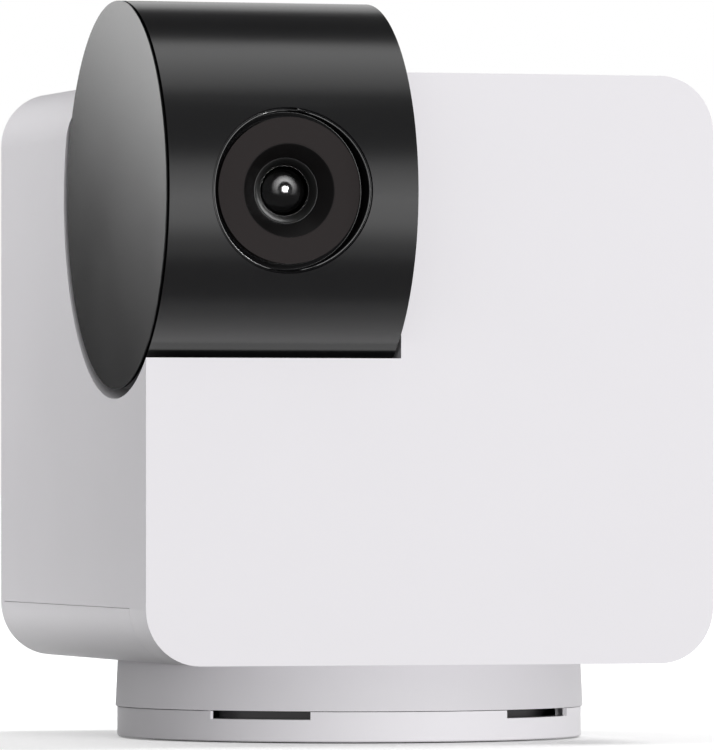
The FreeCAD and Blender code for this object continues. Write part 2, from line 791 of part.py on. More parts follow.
def make_bottom_cover():
    """Lower part of the cube: floor, rounded edges and the bearing's hub."""
    span = (f"{BAND_BACK} + seam_gap", f"{INNER_BACK} - seam_gap")
    shell = cut("cover_shell", cube_bar("cover_outer", span, "0"),
                cube_bar("cover_inner", (f"{BAND_BACK} - over_cut", f"{INNER_BACK} + over_cut"),
                         "shell_wall"))
    above = block("cover_above", (f"0 - {SIDE} - over_cut", f"{SIDE} + over_cut"),
                  (f"{FRONT} - over_cut", f"{BACK} + over_cut"),
                  (f"{SEAM} - seam_gap", f"{CUBE_TOP} + over_cut"))
    lower = cut("cover_lower", shell, above)
    hub = rod("cover_hub", "spindle_radius + bush_wall + hub_wall", f"{HUB_TOP} - {CUBE_FLOOR}",
              z=CUBE_FLOOR)
    added = [hub]
    tools = [rod("cover_bore", "spindle_radius + turn_play + bush_wall + fit_play",
                 f"{HUB_TOP} - {CUBE_FLOOR} + over_cut * 2", z=f"{CUBE_FLOOR} - over_cut"),
             rod("cover_pinion_hole", "tooth_module * (pinion_teeth / 2 + 0.8) + free_gap",
                 "shell_wall + motor_stand + over_cut * 2", *pan_pinion_spot(),
                 f"{CUBE_FLOOR} - over_cut")]
    for index in range(4):
        spot = skirt_spot(index)
        tools.append(rod(f"cover_skirt_hole_{index}", "screw_radius + screw_play",
                         "shell_wall + over_cut * 2", *spot, f"{CUBE_FLOOR} - over_cut"))
    for name, side, end in CORNERS:
        spot = post_spot(side, end)
        tools.append(rod(f"cover_hole_{name}", "screw_radius + screw_play", "shell_wall + over_cut * 2",
                         *spot, f"{CUBE_FLOOR} - over_cut"))
        tools.append(rod(f"cover_sink_{name}", "screw_head + sink_gap",
                         "head_height + sink_gap + over_cut", *spot, f"{CUBE_FLOOR} - over_cut"))
    x, y = pan_motor_spot()
    for index, side in enumerate("-+"):
        spot = (f"({x} {side} ear_offset)", y)
        added.append(rod(f"cover_motor_boss_{index}", "ear_radius", "motor_stand", *spot,
                         FLOOR_TOP))
        tools.append(rod(f"cover_motor_hole_{index}", "screw_radius + screw_play",
                         "motor_stand + floor_screw + free_gap", *spot,
                         f"{FLOOR_TOP} + motor_stand", DOWN))
        spot = (f"(0 {side} (power_side - stud_inset))",
                f"({POWER_BACK} - power_depth + power_inset)")
        added.append(rod(f"cover_stud_{index}", "stud_radius", "power_rise", *spot, FLOOR_TOP))
        tools.append(rod(f"cover_stud_hole_{index}", "screw_radius + screw_play",
                         "power_rise + over_cut", *spot, f"{FLOOR_TOP} + power_rise", DOWN))
    keep("bottom_cover", cut("bottom_cover", joined("cover_blank", lower, *added), *tools))


def make_housing():
    """Front, sides and top of the cube in one moulding, with the pocket for the head."""
    shell = cut("housing_shell", cube_bar("housing_outer", (FRONT, f"{INNER_BACK} - seam_gap"), "0"),
                cube_bar("housing_inner", (INNER_FRONT, f"{BACK} + over_cut"), "shell_wall"))
    below = block("housing_below", (f"0 - {SIDE} - over_cut", f"{SIDE} + over_cut"),
                  (BAND_BACK, f"{BACK} + over_cut"), (f"{CUBE_FLOOR} - over_cut", SEAM))
    walls = cut("housing_walls", shell, below)
    cradle = rod("housing_cradle", f"{POCKET} + pocket_wall", f"{NOTCH_RIGHT} + {SIDE}",
                 f"0 - {SIDE}", TILT_Y, TILT_Z, RIGHT)
    inside = cube_bar("housing_inside", (FRONT, f"{INNER_BACK} - seam_gap"), "0")
    added = [walls, common("housing_cradle_inside", cradle, inside)]
    tools = [rod("housing_pocket", POCKET, f"{NOTCH_LEFT} + {SIDE} + over_cut",
                 f"0 - {SIDE} - over_cut", TILT_Y, TILT_Z, RIGHT),
             rod("housing_bush_hole", "hub_radius + turn_play + tilt_wall + fit_play",
                 "shell_wall + over_cut * 2", f"{NOTCH_LEFT} - over_cut", TILT_Y, TILT_Z, RIGHT)]
    track = sector("housing_stop_track", "peg_circle - peg_radius - stop_gap",
                   "peg_circle + peg_radius + stop_gap", "shell_wall + over_cut * 2", "0", "90",
                   "tilt_up + tilt_down + 2 * (stop_play + asin(peg_radius / peg_circle) / (1 deg))")
    tools.append(place(track, f"{NOTCH_LEFT} - over_cut", TILT_Y, TILT_Z, RIGHT))
    for name, side, end in CORNERS:
        x, y = post_spot(side, end)
        added.append(rod(f"housing_post_{name}", "post_radius", "post_rise", x, y, FLOOR_TOP))
        wall = f"0 {side} ({INNER_SIDE} + root_depth)"
        reach = (wall, x) if side == "-" else (x, wall)
        added.append(block(f"housing_rib_{name}", reach, around(y, "rib_wall / 2"),
                           (f"{SEAM} + rib_gap", f"{FLOOR_TOP} + post_rise")))
        tools.append(rod(f"housing_screw_hole_{name}", "screw_radius + screw_play",
                         "corner_screw", x, y, FLOOR_TOP))
    for index, side in enumerate("-+"):
        spot = below_tilt(f"{TILT_DISTANCE} + shaft_offset", f"0 {side} ear_offset")
        added.append(rod(f"housing_motor_boss_{index}", "ear_radius",
                         f"{TILT_FACE} - {NOTCH_LEFT} - over_cut",
                         f"{NOTCH_LEFT} + over_cut", *spot, RIGHT))
        tools.append(screw_hole(f"housing_motor_hole_{index}", "motor_screw", TILT_FACE, *spot,
                                LEFT))
    keep("main_housing", cut("main_housing", joined("housing_blank", *added), *tools))


def make_back_cover():
    """Rear panel with the loudspeaker's grille and the openings for socket and button."""
    plate = cube_bar("back_plate", (INNER_BACK, BACK), "0")
    lip = cut("back_lip",
              cube_bar("back_lip_outer", (f"{INNER_BACK} - lip_depth",
                                          f"{INNER_BACK} + root_depth"),
                       "shell_wall + seam_gap"),
              cube_bar("back_lip_inner", (f"{INNER_BACK} - lip_depth - over_cut",
                                          f"{INNER_BACK} + over_cut"),
                       "shell_wall + seam_gap + lip_wall"))
    added = [plate, lip]
    tools = []
    for index, (x, z) in enumerate(board_spots()):
        added.append(rod(f"back_stud_{index}", "stud_radius",
                         f"{INNER_BACK} - {BOARD_BACK} + root_depth", x, BOARD_BACK, z, BACKWARD))
        tools.append(rod(f"back_stud_hole_{index}", "screw_radius + screw_play",
                         "stud_screw + free_gap", x, BOARD_BACK, z, BACKWARD))
    through = (f"{INNER_BACK} - over_cut", f"{BACK} + over_cut")
    height = "(port_height / 2 + opening_gap)"
    width = f"(port_width / 2 + opening_gap - {height})"
    tools.append(block("back_port_slot", around(0, width), through, around(PORT_AXIS, height)))
    for index, side in enumerate("-+"):
        tools.append(rod(f"back_port_end_{index}", height, "back_thick + over_cut * 2",
                         f"0 {side} {width}", through[0], PORT_AXIS, BACKWARD))
    tools.append(rod("back_button_hole", "button_radius + button_gap", "back_thick + over_cut * 2",
                     "button_place", through[0], PORT_AXIS, BACKWARD))
    tools.append(rod("back_pipe_hole", "pipe_radius + fit_play", "back_thick + over_cut * 2",
                     "0 - button_place", through[0], PORT_AXIS, BACKWARD))
    tools.append(rod("back_voice_hole", "boot_bore", "back_thick + over_cut * 2", "voice_place",
                     through[0], "voice_height", BACKWARD))
    for index, (x, z) in enumerate(grille_spots()):
        tools.append(rod(f"back_grille_{index}", "grille_hole", "back_thick + over_cut * 2", x,
                         through[0], z, BACKWARD))
    keep("back_cover", cut("back_cover", joined("back_blank", *added), *tools))


def board_spots():
    """The four places where the main board is fastened."""
    return [(f"(0 {side} (board_side - stud_inset))", z)
            for side in "-+" for z in (f"({BOARD_FLOOR} + stud_inset)",
                                       f"({BOARD_TOP} - stud_inset)")]


def grille_spots():
    """Holes of the loudspeaker's grille, in rings about its middle."""
    spots = [("0", "speaker_height")]
    for ring in range(1, 4):
        for index in range(6 * ring):
            bearing = 60 * index / ring
            spots.append((f"grille_pitch * {ring} * cos({bearing})",
                          f"speaker_height + grille_pitch * {ring} * sin({bearing})"))
    return spots


def make_cover_screws():
    """Screws that hold skirt, bottom cover and housing together."""
    length = "shell_wall + boss_drop - boss_floor - free_gap"
    screws = [screw(f"skirt_screw_{index}", length, *skirt_spot(index), FLOOR_TOP)
              for index in range(4)]
    sunk = f"{CUBE_FLOOR} + head_height + sink_gap"
    screws += [screw(f"housing_screw_{name}",
                     "shell_wall - head_height - sink_gap * 2 + corner_screw",
                     *post_spot(side, end), sunk, DOWN)
               for name, side, end in CORNERS]
    keep("cover_screws", group("cover_screws", *screws))


def make_bushes():
    """Plain bearings: one for panning, in the floor, and one for tilting, in the notch."""
    inner = "(spindle_radius + turn_play)"
    outer = f"({inner} + bush_wall)"
    keep("pan_bush", turned("pan_bush", [
        (inner, f"{CUBE_FLOOR} - bush_flange"),
        (f"{outer} + pan_flange", f"{CUBE_FLOOR} - bush_flange"),
        (f"{outer} + pan_flange", CUBE_FLOOR),
        (outer, CUBE_FLOOR),
        (outer, HUB_TOP),
        (inner, HUB_TOP),
    ]))
    inner = "(hub_radius + turn_play)"
    outer = f"({inner} + tilt_wall)"
    keep("tilt_bush", turned("tilt_bush", [
        (inner, NOTCH_LEFT),
        (outer, NOTCH_LEFT),
        (outer, NOTCH_RIGHT),
        (f"{outer} + flange_width", NOTCH_RIGHT),
        (f"{outer} + flange_width", TILT_FLANGE),
        (inner, TILT_FLANGE),
    ], y=TILT_Y, z=TILT_Z, facing=RIGHT))


# --------------------------------------------------------------------------- drives
def pan_pinion_spot():
    """The pan pinion's axis: one gear distance from the pan axis."""
    distance = "tooth_module * (pan_teeth + pinion_teeth) / 2"
    return (f"({distance} * cos(pinion_bearing))", f"({distance} * sin(pinion_bearing))")


def pan_motor_spot():
    """The middle of the pan motor's can."""
    x, y = pan_pinion_spot()
    return x, f"({y} - shaft_offset)"


TILT_FACE = f"({TILT_GEAR_END} + motor_clear)"


def below_tilt(down, across="0"):
    """A place `down` from the tilt axis, leaning back by the tilt bearing, and `across` that."""
    return (f"({TILT_Y} + ({down}) * sin(tilt_bearing) + ({across}) * cos(tilt_bearing))",
            f"({TILT_Z} - ({down}) * cos(tilt_bearing) + ({across}) * sin(tilt_bearing))")


TILT_DISTANCE = "(tooth_module * (tilt_teeth + pinion_teeth) / 2)"


def geared_motor(name, x, y, z, facing):
    """Small geared stepper: can, two ears and plug; its origin is the shaft's at the face."""
    can = rod(f"{name}_can", "motor_radius", "motor_length", y="shaft_offset", facing=DOWN)
    nose = rod(f"{name}_nose", "nose_radius", "motor_clear - nose_gap")
    plug = block(f"{name}_plug", around(0, "socket_half"),
                 around("shaft_offset - motor_radius", "socket_out"),
                 around("0 - socket_middle", "socket_tall"))
    ears = [block(f"{name}_ears", around(0, "ear_offset"), around("shaft_offset", "ear_radius"),
                  ("0 - ear_thick", "0"))]
    tools = [rod(f"{name}_shaft_hole", "shaft_radius + turn_play",
                 "motor_clear + shaft_depth + over_cut * 2", z="0 - shaft_depth - over_cut")]
    for index, side in enumerate("-+"):
        spot = (f"0 {side} ear_offset", "shaft_offset")
        ears.append(rod(f"{name}_ear_{index}", "ear_radius", "ear_thick", *spot, facing=DOWN))
        tools.append(rod(f"{name}_ear_hole_{index}", "screw_radius + screw_play",
                         "ear_thick + over_cut * 2", *spot, "0 - ear_thick - over_cut"))
    motor = cut(f"{name}_cut", joined(f"{name}_whole", can, nose, plug, *ears), *tools)
    return place(motor, x, y, z, facing)


def pinion_and_shaft(name, x, y, z, facing, turn, width, shaft_length):
    """Pinion on the motor's shaft; its origin is the far end of the shaft, facing the motor."""
    gear = spur_gear(f"{name}_teeth", "pinion_teeth", width, x, y, z, facing, turn)
    bore = rod(f"{name}_bore", "shaft_radius + fit_play", width, x, y, z, facing)
    keep(name, cut(name, gear, bore))
    keep(f"{name}_shaft", rod(f"{name}_shaft", "shaft_radius", shaft_length, x, y, z, facing))


motor_screws = []


def make_pan_drive():
    """Motor on the floor of the cube, its shaft down through the floor to the fixed gear."""
    x, y = pan_pinion_spot()
    face = f"({FLOOR_TOP} + motor_stand)"
    keep("pan_motor", geared_motor("pan_motor", x, y, face, DOWN))
    turn = value("pinion_bearing") + 180 + 180 / value("pinion_teeth")
    pinion_and_shaft("pan_pinion", x, y, GEAR_SEAT, UP, turn, "gear_width",
                     f"{face} - {GEAR_SEAT} + shaft_depth")
    x, y = pan_motor_spot()
    for index, side in enumerate("-+"):
        motor_screws.append(screw(f"pan_motor_screw_{index}",
                                  "ear_thick + motor_stand + floor_screw",
                                  f"({x} {side} ear_offset)", y, f"{face} + ear_thick"))


def make_tilt_drive():
    """Motor beside the notch, its shaft to the left to the gear on the head's hub."""
    y, z = below_tilt(TILT_DISTANCE)
    lean = value("tilt_bearing")
    facing = LEFT.multiply(Rotation(Vector(0, 0, 1), -lean))
    keep("tilt_motor", geared_motor("tilt_motor", TILT_FACE, y, z, facing))
    turn = lean + 180 + 180 / value("pinion_teeth")
    pinion_and_shaft("tilt_pinion", TILT_SEAT, y, z, RIGHT, turn, "gear_width",
                     f"{TILT_FACE} - {TILT_SEAT} + shaft_depth")
    for index, side in enumerate("-+"):
        spot = below_tilt(f"{TILT_DISTANCE} + shaft_offset", f"0 {side} ear_offset")
        motor_screws.append(screw(f"tilt_motor_screw_{index}", "ear_thick + motor_screw",
                                  f"{TILT_FACE} + ear_thick", *spot, RIGHT))
    keep("motor_screws", group("motor_screws", *motor_screws))
    gear = spur_gear("tilt_gear_teeth", "tilt_teeth", "gear_width", TILT_SEAT, TILT_Y, TILT_Z,
                     RIGHT, lean)
    tools = [rod("tilt_gear_bore", "hub_bore", "gear_width + over_cut * 2",
                 f"{TILT_SEAT} - over_cut", TILT_Y, TILT_Z, RIGHT)]
    screws = []
    for index in range(3):
        spot = (f"{TILT_Y} + hub_circle * cos({120 * index})",
                f"{TILT_Z} + hub_circle * sin({120 * index})")
        tools.append(rod(f"tilt_gear_hole_{index}", "screw_radius + screw_play",
                         "gear_width + over_cut * 2", f"{TILT_SEAT} - over_cut", *spot, RIGHT))
        screws.append(screw(f"tilt_gear_screw_{index}", "gear_width + hub_screw", TILT_GEAR_END,
                            *spot, RIGHT))
    keep("tilt_gear", cut("tilt_gear", gear, *tools))
    keep("tilt_gear_screws", group("tilt_gear_screws", *screws))


# ---------------------------------------------------------------------- electronics
def make_main_board():
    """Upright board on the studs of the back cover, with its chips, shield and heat sink."""
    board = block("main_board_blank", around(0, "board_side"), (BOARD_FRONT, BOARD_BACK),
                  (BOARD_FLOOR, BOARD_TOP))
    holes = [rod(f"main_board_hole_{index}", "screw_radius + screw_play", "board_thick + over_cut * 2",
                 x, f"{BOARD_FRONT} - over_cut", z, BACKWARD)
             for index, (x, z) in enumerate(board_spots())]
    keep("main_board", cut("main_board", board, *holes))
    chip_face = f"({BOARD_FRONT} - chip_thick)"
    chips = [block("processor", around("chip_place", "chip_side / 2"), (chip_face, BOARD_FRONT),
                   around("chip_height", "chip_side / 2"))]
    for index, z in enumerate(("chip_height", "chip_height - small_chip - small_gap")):
        chips.append(block(f"small_chip_{index}", around("0 - chip_place", "small_chip / 2"),
                           (chip_face, BOARD_FRONT), around(z, "small_chip / 2")))
    chips.append(block("microphone", around("voice_place", "voice_half"),
                       (BOARD_BACK, f"{BOARD_BACK} + voice_thick"),
                       around("voice_height", "voice_low")))
    chips.append(block("status_light", around("0 - button_place", "light_half"),
                       (f"{POWER_BACK} - light_depth", POWER_BACK),
                       (POWER_TOP, f"{PORT_AXIS} + light_half")))
    keep("board_chips", group("board_chips", *chips))
    sink_face = f"({chip_face} - sink_base)"
    fins = [block("sink_plate", around("chip_place", "chip_side / 2"), (sink_face, chip_face),
                  around("chip_height", "chip_side / 2"))]
    count = round(value("fin_count"))
    for index in range(count):
        left = f"chip_place - chip_side / 2 + {index} * (chip_side - fin_wall) / {count - 1}"
        fins.append(block(f"sink_fin_{index}", (left, f"{left} + fin_wall"),
                          (f"{sink_face} - fin_height", sink_face),
                          around("chip_height", "chip_side / 2")))
    keep("heatsink", joined("heatsink", *fins))
    keep("wifi_shield", block("wifi_shield", around("0 - shield_place", "shield_width / 2"),
                              (f"{BOARD_FRONT} - shield_thick", BOARD_FRONT),
                              ("shield_floor", "shield_floor + shield_height")))
    keep("wifi_antenna", block("wifi_antenna", (f"{INNER_SIDE} - antenna_thick", INNER_SIDE),
                               ("0", "antenna_width"),
                               around("shield_floor + shield_height / 2", "antenna_height / 2")))
    keep("voice_boot", tube("voice_boot", "boot_bore", "boot_radius", "0",
                            f"{INNER_BACK} - {BOARD_BACK} - voice_thick", x="voice_place",
                            y=f"{BOARD_BACK} + voice_thick", z="voice_height", facing=BACKWARD))


def make_power_board():
    """Small board on the floor that carries the socket, the reset switch and the light."""
    y_front = f"({POWER_BACK} - power_depth)"
    board = block("power_board_blank", around(0, "power_side"), (y_front, POWER_BACK),
                  (POWER_FLOOR, POWER_TOP))
    holes, screws = [], []
    for index, side in enumerate("-+"):
        spot = (f"(0 {side} (power_side - stud_inset))", f"({y_front} + power_inset)")
        holes.append(rod(f"power_board_hole_{index}", "screw_radius + screw_play",
                         "board_thick + over_cut * 2", *spot, f"{POWER_FLOOR} - over_cut"))
        screws.append(screw(f"power_board_screw_{index}", "board_thick + power_rise", *spot,
                            POWER_TOP))
    keep("power_board", cut("power_board", board, *holes))
    for index, (x, z) in enumerate(board_spots()):
        screws.append(screw(f"main_board_screw_{index}", "board_thick + stud_screw", x,
                            BOARD_FRONT, z, FORWARD))
    keep("board_screws", group("board_screws", *screws))


def rounded_slot(name, half_width, half_height, y, length):
    """A flat bar along Y with round ends, such as the socket's shell."""
    straight = f"(({half_width}) - ({half_height}))"
    return joined(name, block(f"{name}_middle", around(0, straight), (y, f"({y}) + ({length})"),
                              around(PORT_AXIS, half_height)),
                  *[rod(f"{name}_end_{index}", half_height, length, f"0 {side} {straight}", y,
                        PORT_AXIS, BACKWARD) for index, side in enumerate("-+")])


def make_socket():
    """Power socket: a thin shell with a tongue, its mouth just inside the back cover."""
    mouth = f"({BACK} - port_inset)"
    start = f"({mouth} - port_depth)"
    outer = rounded_slot("socket_outer", "port_width / 2", "port_height / 2", start, "port_depth")
    inner = rounded_slot("socket_inner", "port_width / 2 - port_shell",
                         "port_height / 2 - port_shell", f"{start} + port_end",
                         "port_depth")
    tongue = block("socket_tongue", around(0, "tongue_half"),
                   (f"{start} + port_shell", f"{mouth} - tongue_inset"),
                   around(PORT_AXIS, "port_shell"))
    keep("usb_port", joined("usb_port", cut("socket_shell", outer, inner), tongue))


def make_button():
    """Reset button in the back cover, the switch behind it, and the light pipe."""
    inner_end = f"({INNER_BACK} - free_gap - button_flange)"
    stem = rod("button_stem", "button_radius", f"{BACK} - sink_gap - {inner_end}",
               "button_place", inner_end, PORT_AXIS, BACKWARD)
    flange = rod("button_rim", "button_radius + flange_reach", "button_flange",
                 "button_place", inner_end, PORT_AXIS, BACKWARD)
    keep("reset_button", joined("reset_button", stem, flange))
    case = block("switch_case", around("button_place", "button_radius"),
                 (f"{POWER_BACK} - port_height", POWER_BACK),
                 (POWER_TOP, f"{POWER_TOP} + port_height"))
    plunger = rod("switch_plunger", "plunger_radius",
                  f"{inner_end} - button_travel - run_gap - {POWER_BACK}", "button_place",
                  POWER_BACK, PORT_AXIS, BACKWARD)
    keep("reset_switch", joined("reset_switch", case, plunger))
    keep("light_pipe", rod("light_pipe", "pipe_radius",
                           f"{BACK} - run_gap - {POWER_BACK} - free_gap", "0 - button_place",
                           f"{POWER_BACK} + free_gap", PORT_AXIS, BACKWARD))


def make_speaker():
    """Loudspeaker behind the grille: frame, cone and magnet, seen from the back cover in."""
    spot = dict(y=INNER_BACK, z="speaker_height", facing=FORWARD)
    rim = "(speaker_radius - speaker_rim)"
    keep("speaker_frame", turned("speaker_frame", [
        (rim, "0"),
        ("speaker_radius", "0"),
        ("speaker_radius", "rim_depth"),
        (rim, "rim_depth + cone_wall"),
        ("magnet_radius + basket_wall", "speaker_depth"),
        ("magnet_radius / 2", "speaker_depth"),
        ("magnet_radius / 2", "speaker_depth - basket_wall"),
        ("magnet_radius", "speaker_depth - basket_wall"),
        (rim, "rim_depth - cone_start"),
    ], **spot))
    edge = f"({rim} - cone_start)"
    keep("speaker_cone", turned("speaker_cone", [
        ("0", "cone_depth - dome_rise"),
        ("dome_radius", "cone_depth"),
        (edge, "cone_start"),
        (edge, "cone_start + cone_wall"),
        ("dome_radius", "cone_depth + cone_wall"),
        ("0", "cone_depth - dome_rise + cone_wall"),
    ], **spot))
    keep("speaker_magnet", rod("speaker_magnet", "magnet_radius", "magnet_depth", "0",
                               f"{INNER_BACK} - speaker_depth", "speaker_height", FORWARD))


def make_wiring():
    """Plugs on the boards and the leads between them, the motors and the loudspeaker."""
    pan_x, pan_y = pan_pinion_spot()
    plug_z = "(plug_floor + plug_height / 2)"
    tilt_x = f"({TILT_FACE} + socket_middle)"
    board_plug = (f"{BOARD_FRONT} - plug_depth", BOARD_FRONT)
    rear_plug = (BOARD_BACK, f"{BOARD_BACK} + plug_depth")
    rear_low = f"({BOARD_FLOOR} + small_gap)"
    sides = [
        (pan_x, board_plug, around(plug_z, "plug_height / 2")),
        (tilt_x, board_plug, around(plug_z, "plug_height / 2")),
        ("head_plug", board_plug, around(TILT_Z, "plug_height / 2")),
        ("0", rear_plug, around("speaker_plug", "plug_height / 2")),
        ("0", rear_plug, (rear_low, f"{rear_low} + plug_height")),
        ("0", rear_plug, (POWER_TOP, f"{POWER_TOP} + plug_height")),
    ]
    keep("lead_plugs", group("lead_plugs", *[
        block(f"plug_{index}", around(x, "plug_width / 2"), y, z)
        for index, (x, y, z) in enumerate(sides)]))
    plug_face = f"({BOARD_FRONT} - plug_depth)"
    pan_z = f"({FLOOR_TOP} + motor_stand + socket_middle)"
    pan_start = f"({pan_y} - shaft_offset + motor_radius + socket_out)"
    pan_lead = lead("pan_lead", "lead_radius", [
        (pan_x, pan_start, pan_z), (pan_x, f"{pan_start} + lead_run", pan_z),
        (pan_x, f"{plug_face} - lead_run", plug_z), (pan_x, plug_face, plug_z)])
    socket = f"{TILT_DISTANCE} + shaft_offset - motor_radius - socket_out / 2"
    tilt_lead = lead("tilt_lead", "lead_radius", [
        (tilt_x, *below_tilt(socket, "socket_half")),
        (tilt_x, *below_tilt(socket, "socket_half + tilt_lead_drop")),
        (tilt_x, f"{plug_face} - tilt_lead_bend", f"{plug_z} + tilt_lead_rise"),
        (tilt_x, f"{plug_face} - lead_run", plug_z), (tilt_x, plug_face, plug_z)])
    speaker_low = "(speaker_height - speaker_radius)"
    speaker_y = f"({INNER_BACK} - lead_radius)"
    rear_face = f"({BOARD_BACK} + plug_depth)"
    speaker_lead = lead("speaker_lead", "lead_radius", [
        ("0", speaker_y, speaker_low), ("0", speaker_y, "speaker_plug"),
        ("0", rear_face, "speaker_plug")])
    power_y = f"({BOARD_BACK} + plug_depth / 2)"
    power_lead = rod("power_lead", "lead_radius", f"{rear_low} - {POWER_TOP} - plug_height",
                     "0", power_y, f"{POWER_TOP} + plug_height")
    shield_right = "(shield_width / 2 - shield_place)"
    thin_y = f"({BOARD_FRONT} - shield_thick / 2)"
    thin_z = "(shield_floor + shield_height / 4)"
    antenna_lead = lead("antenna_lead", "thin_lead", [
        (shield_right, thin_y, thin_z), ("board_side - antenna_bend", thin_y, thin_z),
        ("board_side - antenna_rise", "antenna_spot", thin_z),
        (f"{INNER_SIDE} - antenna_thick", "antenna_spot", thin_z)])
    keep("wiring", group("wiring", pan_lead, tilt_lead, speaker_lead, power_lead, antenna_lead))
    keep("head_cable", lead("head_cable", "head_lead", [
        (f"{TILT_GEAR_END} + cable_reach + stop_gap", TILT_Y, TILT_Z),
        ("head_plug", TILT_Y, TILT_Z), ("head_plug", plug_face, TILT_Z)]))


# ------------------------------------------------------------------------ tilting head
def ahead(distance):
    """The Y of a plane this far in front of the tilt axis."""
    return f"({TILT_Y} - ({distance}))"


WINDOW_FACE = "(head_radius - window_sink)"
SHELF = f"({WINDOW_FACE} - window_thick)"
BEZEL_SEAT = f"({SHELF} - bezel_drop)"
SHELF_BACK = f"({SHELF} - shelf_thick)"
HOLDER_FACE = "(sensor_rise + holder_depth)"
LENS_FACE = "(head_radius - lens_sink)"
GLASS_FACE = "(head_radius - glass_sink)"
FILTER_LOW = "(sensor_rise + chip_rise + free_gap)"
FILTER_TOP = f"({FILTER_LOW} + filter_thick)"
ON_LENS = dict(x=LENS_X, y=TILT_Y, z=TILT_Z, facing=FORWARD)
ON_TILT = dict(y=TILT_Y, z=TILT_Z, facing=RIGHT)
SENSOR_SPOTS = [(f"({LENS_X} {side} (sensor_side / 2 - sensor_inset))",
                 f"({TILT_Z} {end} (sensor_side / 2 - sensor_inset))")
                for side in "-+" for end in "-+"]


def make_barrel():
    """The head's shell, with its hub, the seat of the lens port and posts for the sensor."""
    shell = turned("barrel_shell", [
        ("head_radius - head_wall", BARREL_LEFT),
        ("head_radius", BARREL_LEFT),
        ("head_radius", BARREL_RIGHT),
        ("hub_radius", BARREL_RIGHT),
        ("hub_radius", TILT_SEAT),
        ("hub_bore", TILT_SEAT),
        ("hub_bore", f"{BARREL_RIGHT} - end_wall"),
        ("head_radius - head_wall", f"{BARREL_RIGHT} - end_wall"),
    ], **ON_TILT)
    seats = [rod("barrel_port_seat", "port_radius + port_wall", f"head_radius - {SHELF_BACK}",
                 LENS_X, ahead(SHELF_BACK), TILT_Z, FORWARD)]
    tools = [rod("barrel_port", "port_radius", "head_radius", LENS_X, ahead(SHELF), TILT_Z,
                 FORWARD),
             tube("barrel_bezel_seat", "window_radius", "port_radius", BEZEL_SEAT,
                  f"{SHELF} + over_cut", **ON_LENS),
             rod("barrel_port_bore", "window_radius - shelf_width", "head_radius", LENS_X,
                 ahead(f"{SHELF_BACK} - port_reach"), TILT_Z, FORWARD)]
    for index, (x, z) in enumerate(SENSOR_SPOTS):
        seats.append(rod(f"barrel_post_{index}", "sensor_post",
                         "head_radius - head_wall / 2 - sensor_rise", x, ahead("sensor_rise"), z,
                         FORWARD))
        tools.append(rod(f"barrel_post_hole_{index}", "screw_radius + screw_play",
                         "sensor_screw + over_cut", x, ahead("sensor_rise"), z, FORWARD))
    trim = rod("barrel_trim", "head_radius - head_wall / 2", "cube_width", f"0 - {SIDE}", TILT_Y,
               TILT_Z, RIGHT)
    inside = common("barrel_seats", joined("barrel_seats_whole", *seats), trim)
    bearing = "((tilt_up - tilt_down) / 2)"
    peg = rod("barrel_peg", "peg_radius", "peg_length + end_wall / 2",
              f"{BARREL_RIGHT} - end_wall / 2", f"{TILT_Y} + peg_circle * cos({bearing})",
              f"{TILT_Z} + peg_circle * sin({bearing})", RIGHT)
    for index in range(3):
        tools.append(rod(f"barrel_gear_hole_{index}", "screw_radius + screw_play",
                         "hub_screw + free_gap", TILT_SEAT,
                         f"{TILT_Y} + hub_circle * cos({120 * index})",
                         f"{TILT_Z} + hub_circle * sin({120 * index})", LEFT))
    keep("head_barrel", cut("head_barrel", joined("barrel_blank", shell, inside, peg), *tools))


def make_end_cap():
    """Disc that closes the head's outer end, its edge undercut by a groove that hides the seam."""
    bore = "(head_radius - head_wall - fit_play)"
    keep("head_end_cap", turned("head_end_cap", [
        ("0", CAP_FACE),
        ("head_radius", CAP_FACE),
        ("head_radius", f"{CAP_FACE} + cap_land"),
        ("head_radius - groove_depth", BARREL_LEFT),
        (bore, BARREL_LEFT),
        (bore, f"{BARREL_LEFT} + spigot_length"),
        (f"{bore} - cap_thick", f"{BARREL_LEFT} + spigot_length"),
        (f"{bore} - cap_thick", f"{CAP_FACE} + cap_thick"),
        ("0", f"{CAP_FACE} + cap_thick"),
    ], **ON_TILT))


